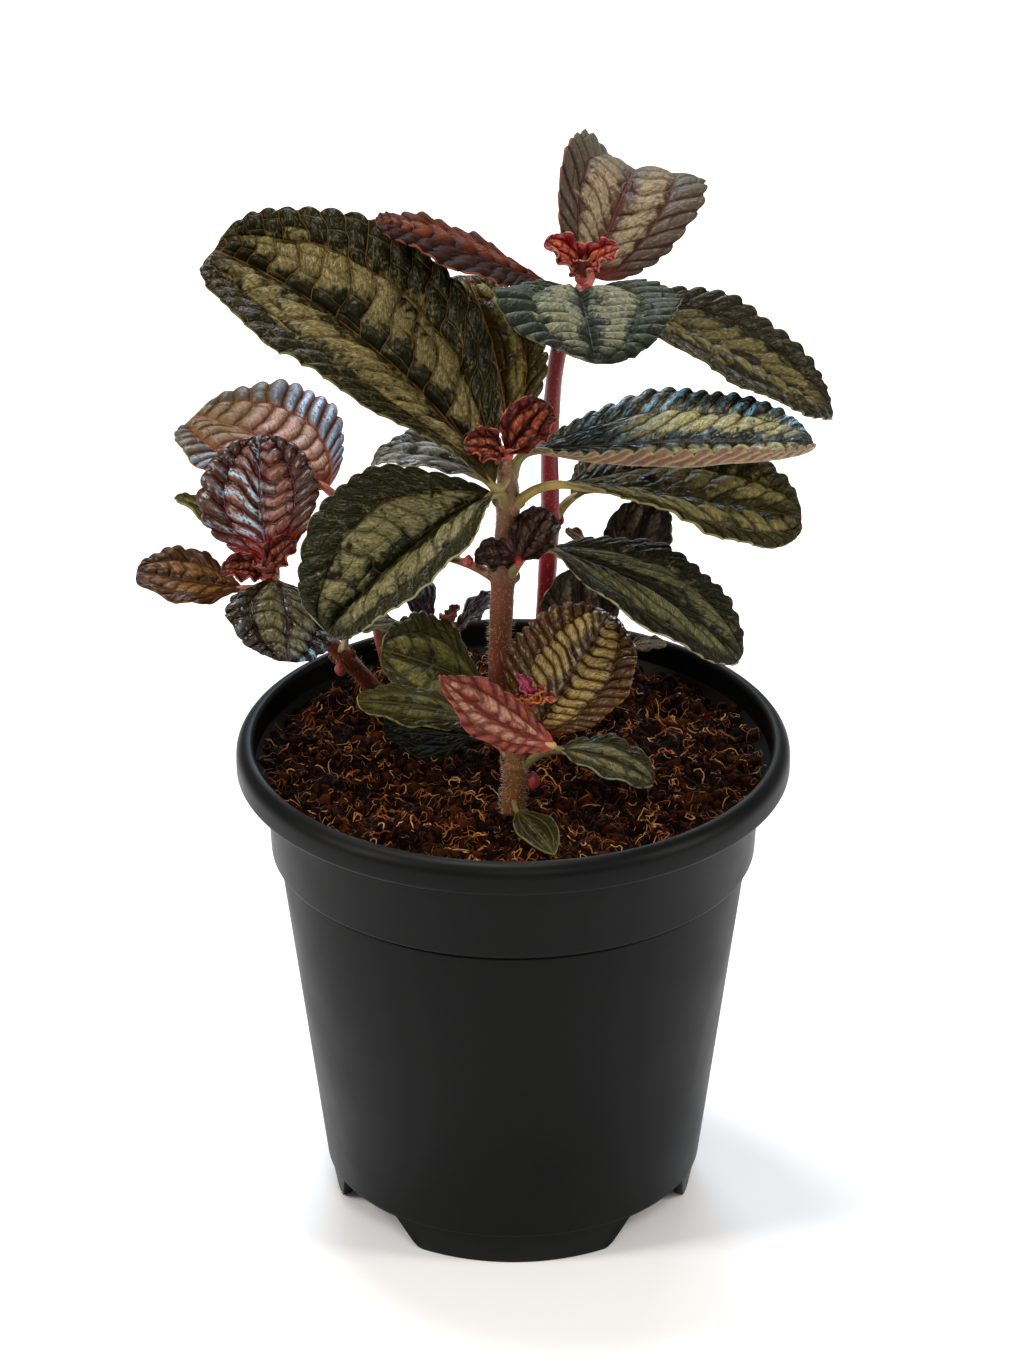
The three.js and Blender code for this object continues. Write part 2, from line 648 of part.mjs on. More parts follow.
// Leaves of the lower shoots
const shootLeaves = {
  leaf_back_left_out: {
    stem: 'backLeft', at: 0.97, base: [-40.4, 29.3, 154.7], heading: 149, rise: 14, length: 36,
    width: 44, roll: 16, droop: 31, foldLeft: -13, foldRight: 23, baseCurve: 0.6, tipCurve: 0.39,
    teeth: 10, finish: 'bronze',
  },
  leaf_inner_left: {
    stem: 'inner', at: 0.95, base: [-17.6, 12, 131], heading: 150, rise: 45, length: 14, width: 12,
    droop: 20, teeth: 5, stalk: 0.8, finish: 'darkGreen',
  },
  leaf_inner_right: {
    stem: 'inner', at: 0.95, base: [-12.4, 9, 130], heading: 10, rise: 40, length: 12, width: 10,
    droop: 10, teeth: 5, stalk: 0.8, finish: 'darkGreen',
  },
  leaf_front_up: {
    stem: 'front', at: 0.95, base: [4.6, -17, 118.2], heading: 44, rise: 43, length: 31,
    width: 32, roll: 7, droop: -6, sweep: 7, foldLeft: 6, foldRight: 3, baseCurve: 0.51,
    tipCurve: 0.45, teeth: 9, finish: 'bronze',
  },
  leaf_front_left: {
    stem: 'front', at: 0.9, base: [8.5, -24.7, 119.6], heading: 188, rise: 37, length: 31, width: 14,
    roll: -31, droop: -28, sweep: 14, foldLeft: -4, foldRight: 21, baseCurve: 0.5, tipCurve: 0.43,
    teeth: 7, finish: 'pink',
  },
  leaf_front_right: {
    stem: 'front', at: 0.66, base: [9.4, -23.1, 118], heading: -10, rise: -17, length: 22,
    width: 14, roll: 7, droop: 32, foldLeft: 15, foldRight: 6, teeth: 7, finish: 'darkGreen',
  },
  leaf_front_far_left: {
    stem: 'front', at: 0.66, base: [-6.8, -14.9, 120.3], heading: 197, rise: 18, length: 29,
    width: 12, roll: -8, droop: 15, sweep: -4, foldLeft: -16, foldRight: 13, teeth: 7,
    finish: 'olive',
  },
  leaf_front_on_soil: {
    stem: 'front', at: 0.4, base: [0.9, -29, 106], heading: -67, rise: -2, length: 20, width: 9,
    roll: 3, droop: 18, sweep: -2, foldLeft: 19, foldRight: 10, teeth: 5, stalk: 0.6,
    finish: 'darkGreen',
  },
  leaf_behind_middle: {
    stem: 'backRight', at: 0.5, base: [14.5, 28, 115.5], heading: 92, rise: 80, length: 19, width: 18,
    droop: 10, teeth: 6, stalk: 0.8, finish: 'darkGreen',
  },
  leaf_behind_right: {
    stem: 'backRight', at: 0.96, base: [25.5, 33, 131], heading: 60, rise: 52, length: 18, width: 17,
    droop: 20, teeth: 6, stalk: 0.8, finish: 'pink',
  },
  leaf_behind_left: {
    stem: 'backRight', at: 0.96, base: [20, 31, 134.5], heading: 190, rise: 48, length: 13, width: 10,
    droop: 10, teeth: 5, stalk: 0.8, finish: 'bronze',
  },
  leaf_behind_low: {
    stem: 'backRight', at: 0.42, base: [24, 40, 109.6], heading: 4, rise: 8, length: 10, width: 7,
    droop: 20, teeth: 4, stalk: 0.6, finish: 'olive',
  },
};

// The crinkled young leaves in the heart of each shoot, joined at a small bud in their middle. Each
// leaf is given by its heading, rise, length, width and roll.
const hearts = {
  young_leaves_main: {
    base: [-1.4, -4.2, 178.4], bud: 1.5, teeth: 4, finish: 'red',
    leaves: [[196, 18, 10, 9.5, -35], [34, 42, 14, 12.5, 38], [290, 34, 5, 4.5, 0]],
  },
  young_leaves_axil: {
    base: [1, -2.8, 152.8], bud: 1.3, teeth: 4, finish: 'darkGreen',
    leaves: [[190, 8, 9.5, 9, -35], [34, 48, 12.5, 12, 40]],
  },
  young_leaves_back: {
    base: [14.6, 18.6, 209.2], bud: 1.5, teeth: 4, finish: 'red',
    leaves: [[186, 48, 12, 10, -30], [-12, 42, 11, 9.5, 24], [270, 60, 6, 5, 0]],
  },
  young_leaves_left: {
    base: [-53, -1.2, 148.6], bud: 1.4, teeth: 3, finish: 'red',
    leaves: [[196, 14, 10, 8, -30], [14, 48, 10, 8, 30], [262, 40, 6, 5.5, 0]],
  },
  young_leaves_front: {
    base: [3.6, -17.4, 125.6], bud: 1.3, teeth: 3, finish: 'red',
    leaves: [[150, 64, 7, 5, 0], [350, 16, 6, 5, 0], [290, 30, 5, 4, 0]],
  },
  young_leaves_inner: {
    base: [-14.2, 9.6, 131.2], bud: 1.1, teeth: 3, finish: 'red',
    leaves: [[270, 50, 5, 4, 0], [40, 50, 5, 3.6, 0]],
  },
};

function makeHeart({ base, bud, teeth, leaves }) {
  let solid = toSolid(new THREE.SphereGeometry(bud, 8, 6).translate(...base));
  for (const [heading, rise, length, width, roll] of leaves) {
    const placed = { base, heading, rise, roll, droop: 20, foldLeft: 24, foldRight: 24 };
    solid = solid.add(makeBlade({ ...placed, length, width, teeth, wave: 0.8, waves: 2 }));
  }
  return wholeBody(solid);
}

// Small closed buds beside the stems
const buds = {
  bud_left: { centre: [-37.55, 13.6, 118.65], radius: 1.2 },
  bud_front: { centre: [4.6, -21.4, 109.6], radius: 1.5 },
  bud_main: { centre: [-9.6, 5.6, 148.6], radius: 1.1 },
};

for (const leaves of [mainLeaves, backLeaves, leftLeaves, shootLeaves]) {
  for (const [name, blade] of Object.entries(leaves)) addNode(name, makeLeaf(blade), blade.finish);
}
for (const [name, heart] of Object.entries(hearts)) addNode(name, makeHeart(heart), heart.finish);
for (const [name, { centre, radius }] of Object.entries(buds)) {
  const egg = new THREE.SphereGeometry(radius, 7, 5).scale(1, 1, 1.4).rotateX(Math.PI / 2);
  addNode(name, toSolid(egg.translate(...centre)), 'red');
}

let soil = makeSoil();
for (const [name, stem] of Object.entries(stems)) {
  const points = stem.points.map(toVector);
  addNode(`stem_${name}`, makeTube(points, stem.radii, stem.steps, stemSides), stem.finish);
  if (stem.inSoil) {
    const hole = points.map((point) => point.clone());
    hole[0].addScaledVector(points[1].clone().sub(points[0]).normalize(), -0.6);
    soil = soil.subtract(makeTube(hole, stem.radii, stem.steps, stemSides, gap));
  }
}
addNode('soil', wholeBody(soil), 'soil');
addNode('pot', makePot(), 'pot');
group.position.x = potAxisX;

export default group;
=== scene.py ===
# A young pilea with quilted leaves, growing in peat in a moulded black nursery pot
import bpy
import bmesh
import json
import math
import random
import numpy as np
from contextlib import contextmanager
from functools import cache
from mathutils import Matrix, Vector, noise
from types import SimpleNamespace

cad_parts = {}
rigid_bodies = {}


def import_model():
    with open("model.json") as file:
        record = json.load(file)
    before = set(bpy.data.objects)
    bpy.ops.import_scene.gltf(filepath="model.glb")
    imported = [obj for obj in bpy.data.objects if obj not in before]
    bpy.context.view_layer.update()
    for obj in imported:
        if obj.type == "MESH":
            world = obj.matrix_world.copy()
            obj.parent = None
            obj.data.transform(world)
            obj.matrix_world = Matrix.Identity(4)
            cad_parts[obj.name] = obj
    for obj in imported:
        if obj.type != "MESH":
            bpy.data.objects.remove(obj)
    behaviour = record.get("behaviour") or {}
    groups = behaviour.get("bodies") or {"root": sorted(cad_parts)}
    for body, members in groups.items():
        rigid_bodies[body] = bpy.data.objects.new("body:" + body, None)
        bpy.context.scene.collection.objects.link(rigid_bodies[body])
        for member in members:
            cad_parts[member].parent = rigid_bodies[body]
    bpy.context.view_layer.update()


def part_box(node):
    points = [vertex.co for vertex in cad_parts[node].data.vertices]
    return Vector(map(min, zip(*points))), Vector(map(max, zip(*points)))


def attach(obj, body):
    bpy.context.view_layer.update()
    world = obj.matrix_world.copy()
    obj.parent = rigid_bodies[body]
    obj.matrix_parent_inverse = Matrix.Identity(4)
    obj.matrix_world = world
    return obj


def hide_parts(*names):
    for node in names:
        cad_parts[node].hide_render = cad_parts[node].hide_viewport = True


for startObject in list(bpy.data.objects):
    bpy.data.objects.remove(startObject)
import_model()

# Every place below is in millimetres from the pot's axis, at the level of its feet
mm = 0.001
potLow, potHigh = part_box("pot")
potAxis = np.array([(potLow[0] + potHigh[0]) / 2, (potLow[1] + potHigh[1]) / 2, 0.0])
fullTurn = 2 * math.pi
print("frame loaded, the pot's axis is at x", round(potAxis[0], 4))


def toFrame(points):
    return np.asarray(points, float) * mm + potAxis


def choose(*pieces):
    bpy.ops.object.select_all(action="DESELECT")
    for piece in pieces:
        piece.select_set(True)
    bpy.context.view_layer.objects.active = pieces[0]


# Edit mode on one piece, with all of it selected
@contextmanager
def editing(piece):
    choose(piece)
    bpy.ops.object.mode_set(mode="EDIT")
    bpy.ops.mesh.select_all(action="SELECT")
    yield
    bpy.ops.object.mode_set(mode="OBJECT")


def placesOf(mesh):
    places = np.empty(len(mesh.vertices) * 3)
    mesh.vertices.foreach_get("co", places)
    return places.reshape(-1, 3)


def setPlaces(mesh, points):
    mesh.vertices.foreach_set("co", toFrame(points).ravel())


# What a material needs to know at each point of a mesh: one number or three
def setFact(mesh, name, values):
    kind, part = ("FLOAT", "value") if np.ndim(values) == 1 else ("FLOAT_VECTOR", "vector")
    mesh.attributes.new(name, kind, "POINT").data.foreach_set(part, np.ravel(values))


def meshPiece(name, points, faces=(), edges=()):
    mesh = bpy.data.meshes.new(name)
    mesh.from_pydata(toFrame(points), edges, faces)
    piece = bpy.data.objects.new(name, mesh)
    bpy.context.collection.objects.link(piece)
    return piece


def join(name, *pieces):
    choose(*pieces)
    if len(pieces) > 1:
        bpy.ops.object.join()
    bpy.ops.object.shade_smooth()
    pieces[0].name = pieces[0].data.name = name
    return pieces[0]


def settle(piece, slotName, *nodes):
    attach(piece, "root")
    if nodes:
        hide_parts(*nodes)


def linear(hexColour):
    channels = [int(hexColour[place:place + 2], 16) / 255 for place in (1, 3, 5)]
    return [c / 12.92 if c <= 0.04045 else ((c + 0.055) / 1.055) ** 2.4 for c in channels] + [1.0]


# What a socket gives; + - * between such values add math nodes
class Value:
    def __init__(self, socket):
        self.socket = socket
        self.tree = socket.id_data

    def __add__(self, other):
        return maths("ADD", self, other)

    def __sub__(self, other):
        return maths("SUBTRACT", self, other)

    def __mul__(self, other):
        return maths("MULTIPLY", self, other)


# One node with its settings; an input is a number, a hex colour or the value that feeds it
def addNode(tree, kind, inputs=None, output=0, **settings):
    made = tree.nodes.new(kind)
    for key, value in settings.items():
        setattr(made, key, value)
    for key, value in (inputs or {}).items():
        if isinstance(value, Value):
            tree.links.new(value.socket, made.inputs[key])
        else:
            made.inputs[key].default_value = linear(value) if isinstance(value, str) else value
    return Value(made.outputs[output]) if made.outputs else None


def maths(operation, first, second=0.0):
    return addNode(first.tree, "ShaderNodeMath", {0: first, 1: second}, operation=operation)


# A share that eases from start at low to end at high
def step(value, low, high, start=0.0, end=1.0, ease="SMOOTHSTEP"):
    return addNode(value.tree, "ShaderNodeMapRange", {0: value, 1: low, 2: high, 3: start, 4: end},
                   interpolation_type=ease)


# A ground colour under coats, each a share and a colour; a coat without a colour is left out
def layers(ground, *coats):
    for share, tone in coats:
        if tone is not None:
            ground = addNode(share.tree, "ShaderNodeMix", {0: share, 6: ground, 7: tone}, output=2,
                             data_type="RGBA")
    return ground


# Noise in the object's own space, its size in millimetres
def noiseIn(tree, size, detail=2.0):
    place = addNode(tree, "ShaderNodeTexCoord", output="Object")
    return addNode(tree, "ShaderNodeTexNoise", {"Vector": place, "Scale": 1 / (size * mm), "Detail": detail})


def netOf(vector, scale):
    return addNode(vector.tree, "ShaderNodeTexVoronoi", {"Vector": vector, "Scale": scale},
                   feature="DISTANCE_TO_EDGE", voronoi_dimensions="2D")


# The three numbers that a mesh stores at each point under one name
def factsOf(tree, name):
    stored = addNode(tree, "ShaderNodeAttribute", output="Vector", attribute_name=name)
    parts = addNode(tree, "ShaderNodeSeparateXYZ", {0: stored})
    return [Value(socket) for socket in parts.socket.node.outputs]


# Zero on a cross rib, one on the crown between two
def fromRib(phase):
    return maths("ABSOLUTE", maths("FRACT", phase + 0.5) - 0.5) * 2.0


def bump(height, strength, depth, **settings):
    return addNode(height.tree, "ShaderNodeBump",
                   {"Height": height, "Strength": strength, "Distance": depth * mm}, **settings)


# A material by its name, made by a function that is given its tree and answers what its surface is
def makeMaterial(name, surfaceOf):
    material = bpy.data.materials.new(name)
    material.use_nodes = True
    tree = material.node_tree
    tree.nodes.clear()
    surface = addNode(tree, "ShaderNodeBsdfPrincipled", surfaceOf(tree))
    addNode(tree, "ShaderNodeOutputMaterial", {"Surface": surface})
    return material


# Camera and studio
camera = {"across": -0.25, "back": 1421.0, "height": 842.5, "lookDown": 26.88, "lens": 194.86, "sensor": 36.0,
          "clip": 0.05}
studio = {
    "floor": "#fbfcff", "floorPatches": "#fdfdff", "floorSize": 3.0, "sky": "#fffcf8", "skyStrength": 0.3,
    "lights": {
        # name: place (m), what it faces (m), size (m), watts, colour
        "keyLeft": ((-1.15, -0.45, 0.95), (0.0, 0.0, 0.1), (0.3, 0.8), 13.5, "#fffaf2"),
        "fillRight": ((1.2, -0.35, 0.75), (0.0, 0.0, 0.1), (0.3, 0.8), 10.0, "#fffaf2"),
        "front": ((0.2, -1.35, 1.3), (0.0, 0.0, 0.08), (0.5, 0.35), 8.0, "#fffefa"),
        "top": ((-0.2, 0.3, 1.5), (0.0, 0.0, 0.12), (0.4, 0.4), 17.0, "#fffaf2"),
        "backFloor": ((0.0, 2.2, 1.6), (0.0, 1.6, 0.0), (1.6, 0.6), 28.0, "#ffffff"),
        "backBlue": ((-0.12, 1.2, 0.95), (0.0, 0.0, 0.18), (0.4, 0.15), 4.6, "#aed6ff"),
    },
}


def makeCamera():
    place = potAxis + np.array([camera["across"], -camera["back"], camera["height"]]) * mm
    bpy.ops.object.camera_add(location=place, rotation=(math.radians(90 - camera["lookDown"]), 0, 0))
    made = bpy.context.object
    made.name = "camera"
    made.data.lens = camera["lens"]
    made.data.sensor_width = camera["sensor"]
    made.data.dof.use_dof = False
    made.data.clip_start = camera["clip"]
    bpy.context.scene.camera = made


# White matt paper sweep: no gloss, and a faint unevenness that the eye doesn't catch
def paperSurface(tree):
    return {"Base Color": layers(studio["floor"], (noiseIn(tree, 333.3333), studio["floorPatches"])),
            "Roughness": 0.9}


def makeStudio():
    bpy.ops.mesh.primitive_plane_add(size=studio["floorSize"])
    floor = bpy.context.object
    floor.name = "studio_floor"
    floor.data.materials.append(makeMaterial("studioPaper", paperSurface))
    world = bpy.data.worlds.new("studioSky")
    world.use_nodes = True
    sky = world.node_tree.nodes["Background"]
    sky.inputs["Color"].default_value = linear(studio["sky"])
    sky.inputs["Strength"].default_value = studio["skyStrength"]
    bpy.context.scene.world = world
    for name, (place, target, size, power, colour) in studio["lights"].items():
        turn = (Vector(place) - Vector(target)).to_track_quat("Z", "Y").to_euler()
        bpy.ops.object.light_add(type="AREA", location=place, rotation=turn)
        light = bpy.context.object
        light.name = name
        light.data.shape = "RECTANGLE"
        light.data.size, light.data.size_y = size
        light.data.energy = power
        light.data.color = linear(colour)[:3]
    view = bpy.context.scene.view_settings
    view.view_transform = "Standard"
    view.look = "None"


# Leaf finishes. Each is one plant skin, with its nine colours in this order: dark, the leaf's own dark that
# also stands as painted shade in the grooves between the ribs, mid on the bulges, pale in the two bands
# beside the midrib, then short ribs, main ribs, rim, underside, the blade's base and the stalk. The rest is
# what differs from the plain finish
toneNames = ("dark", "mid", "pale", "vein", "rib", "rim", "under", "base", "stalk")
plainFinish = dict(
    # shares of the blade's half that the pale band covers, how toothed it is, where along it fades in, and
    # how much of it shows in the painted groove shade
    band=(0.3, 0.9), toothed=0.3, paleFrom=(0.02, 0.14), groovePale=0.4, streaks=0.3, cream="#a89a78",
    # roughness, shine, how broad the painted shade in the valleys between pleats is, and the ribs' own widths
    # and strengths
    gloss=0.34, shine=0.3, valley=0.6, line=0.34, sideWidth=0.25, sideDip=1.0, baseReach=0.16, mottled=0.22,
    fine=1.0, underLight=0.5,
    # colours that only some have: the outer zone, painted shade on the left half, the tip and painted glints
    # on the ridges
    outer=None, left=None, tip=None, frostColour=None, frost=0.0, innerShine=1.0, outerShine=1.0,
    leftShine=1.0, frostTo=(1.2, 1.1))


def finishOf(tones, **others):
    return SimpleNamespace(**{**plainFinish, **dict(zip(toneNames, tones.split())), **others})


finishes = {
    "olive": finishOf("#060502 #1f1d0c #6c603a #6a5222 #65421c #6d6537 #4b2f22 #28200c #7a6a34",
        band=(0.42, 0.98), gloss=0.28, toothed=0.35, shine=0.08, line=0.5, valley=0.4, outer="#151408",
        cream="#b0a078"),
    "mossGreen": finishOf("#141204 #32320d #6a652f #5a5020 #54491c #837d45 #4b2f22 #272408 #7a6a34",
        shine=0.14, line=0.45),
    "green": finishOf("#070703 #1b1a0a #6e6844 #4a4020 #463d1e #929066 #4a3b2a #1b1c0f #7a6a34",
        band=(0.36, 0.95), gloss=0.28, shine=0.1, line=0.4, valley=0.45, outer="#181a0c"),
    "nightGreen": finishOf("#050502 #12150a #a09866 #231f0c #372c14 #80784e #7a4a36 #110b04 #6f6a38",
        band=(0.3, 0.95), gloss=0.3, fine=0.5, innerShine=0.2, underLight=0.65, groovePale=0.3,
        paleFrom=(0.25, 0.5), outer="#161a0c", cream="#c8bc88", frostColour="#78b0d4", frost=0.9),
    "khaki": finishOf("#121006 #322e12 #7b7243 #463d17 #634b1c #857a4c #4a342c #27230c #8a7838",
        band=(0.45, 0.98), gloss=0.28, shine=0.1, line=0.4, valley=0.5),
    "amber": finishOf("#241a04 #3e350e #796d35 #5e3c10 #8a5818 #9a8044 #3c2c12 #3c2c0c #80642e",
        band=(0.4, 0.9), gloss=0.26, shine=0.14),
    "silverBlue": finishOf("#1f1d11 #4c493c #a39e88 #403121 #513b2b #a6977c #5a443c #322a1f #7a6a3c",
        band=(0.3, 1.0), gloss=0.3, shine=0.25, fine=0.3, mottled=0.15, innerShine=0.6,
        frostColour="#a8bcc8", frost=0.7),
    "darkGreen": finishOf("#070602 #1a1b0a #5c5a39 #34301a #3f3a22 #a39a78 #4a4034 #17190b #7c7442",
        band=(0.4, 1.0), gloss=0.36, shine=0.1, line=0.4),
    "bronze": finishOf("#1d0b01 #3f2205 #694315 #2f1604 #4b2406 #694318 #5a3424 #3f1305 #8a5230",
        band=(0.35, 0.95), gloss=0.3, shine=0.14, line=0.2),
    "bronzeBlue": finishOf("#0d0501 #271906 #534e2c #271406 #361a08 #553b20 #5a3424 #400d08 #8a5230",
        band=(0.1, 0.8), gloss=0.24, fine=0.25, innerShine=0.25, leftShine=0.2, mottled=0.1,
        frostColour="#7ea6ba", frost=0.9),
    # rust: its left colour is painted shade on the leaf's lower, shaded half
    "rust": finishOf("#1e0a05 #542410 #5c2814 #3a1208 #5c2414 #8c4c34 #2c1814 #40140c #7c3a34",
        band=(0.4, 0.9), gloss=0.5, shine=0.05, fine=0.4, line=0.05, mottled=0.12, valley=0.8,
        sideWidth=0.05, sideDip=0.2, left="#160a08"),
    "oliveBrown": finishOf("#0c0802 #231d08 #5e562e #30260c #443011 #6b5e33 #40332a #231b0c #7c5a3a",
        band=(0.16, 0.74), gloss=0.3, shine=0.14),
    "silverGreen": finishOf("#090b05 #20281a #6a6a52 #141606 #23200c #595e35 #5a4a3e #171b0c #7c5a3a",
        band=(0.3, 0.95), gloss=0.42, shine=0.14, line=0.0, sideWidth=0.05, sideDip=0.2, toothed=0.35,
        mottled=0.05, fine=0.5, groovePale=0.15, valley=0.95, cream="#a4a48c"),
    "mauve": finishOf("#200f08 #463121 #86765c #421f14 #611a12 #723827 #5c2626 #5f241c #9c4a40", gloss=0.44,
        shine=0.16, line=0.2, toothed=0.12, mottled=0.15, groovePale=0.5, outer="#40342a", tip="#4a4a3a",
        cream="#a89880"),
    "wine": finishOf("#200604 #642a18 #7a402a #420606 #5c0609 #4c2a1c #5a2420 #7e0e14 #a03436", gloss=0.22,
        shine=0.35, baseReach=0.4, fine=0.2, line=0.15, leftShine=0.25, mottled=0.08, groovePale=0.1,
        valley=0.85, outerShine=0.45, outer="#3c1e0e", frostColour="#9cc4d8", frost=0.95),
    # copper: its lavender-blue outer colour is a painted reflection of blue light on the outer pleats
    "copper": finishOf("#42180a #7a4a32 #98745e #50250d #7a3c10 #8a6a44 #6a4430 #5e1f13 #96503c",
        band=(0.1, 0.95), shine=0.2, fine=0.5, sideWidth=1.1, valley=0.8, line=0.1, innerShine=0.35,
        mottled=0.3, frostTo=(0.75, 0.5), outer="#4e5e72", tip="#4c3e18", cream="#b89a88",
        frostColour="#a8b8cc", frost=0.8),
    "blackBlue": finishOf("#070606 #1c1513 #2e2824 #33100e #5a0c10 #4c4a42 #3c2420 #7c1418 #9c5a4c",
        gloss=0.24, fine=0.25, mottled=0.1, frostColour="#6f8ea0", frost=0.8),
    "gold": finishOf("#301406 #503010 #b4954e #270902 #6a2408 #6a4213 #5c3820 #621706 #a07a40",
        band=(0.28, 0.98), gloss=0.2, fine=0.6, valley=0.8, line=0.1, streaks=0.45, mottled=0.12,
        groovePale=0.15, outerShine=0.1, outer="#4a2c0e", cream="#dccb94", frostColour="#e6d8a8",
        frost=0.3),
    "rose": finishOf("#54201a #8c4438 #a87c66 #5a170f #692018 #a2524a #84443e #8c3a30 #b0905a",
        band=(0.3, 1.0), gloss=0.44, valley=0.9, shine=0.14, line=0.12, mottled=0.1, streaks=0.4,
        groovePale=0.3, cream="#c8a884"),
    "greyBrown": finishOf("#140f09 #2e251a #615340 #21170e #392819 #8c7864 #5c4438 #2e1a11 #7c5a42",
        band=(0.35, 0.95), gloss=0.36, shine=0.14),
    "plainGreen": finishOf("#0d0a02 #231f04 #4c461f #342e0b #504a1a #7c7740 #3c3020 #322b08 #6c6030",
        band=(0.0, 0.4), shine=0.12),
    "blackGreen": finishOf("#030302 #0c0b03 #141204 #1c1c0a #2c2a14 #39391a #241c14 #100e06 #4c4424",
        band=(0.3, 0.8), gloss=0.55, shine=0.03),
    "magenta": finishOf("#5a0a24 #9c1a44 #c0466a #6a0c2c #7c1034 #c85c7c #7c1438 #8c1838 #a83440",
        band=(0.3, 0.8), gloss=0.3),
    "ember": finishOf("#5a0c06 #a02a12 #c87830 #6a1008 #8c1c0c #d0803c #7c1810 #b04c14 #a83440",
        band=(0.3, 0.8)),
    "crimson": finishOf("#45080a #8a1a1c #a8502c #4c0608 #6a0a10 #b87a68 #84202c #b08a48 #a83440",
        band=(0.3, 0.8), gloss=0.36, shine=0.2, baseReach=0.3),
    "red": finishOf("#220201 #510b05 #8a3c18 #2f0202 #3a0303 #a8563c #70141a #631408 #a83440",
        band=(0.3, 0.8), gloss=0.36, shine=0.2),
    "plum": finishOf("#100604 #2d1910 #4c392c #1a0705 #590c0e #5c463a #4a2a26 #670d0e #8c2c30", shine=0.2),
}
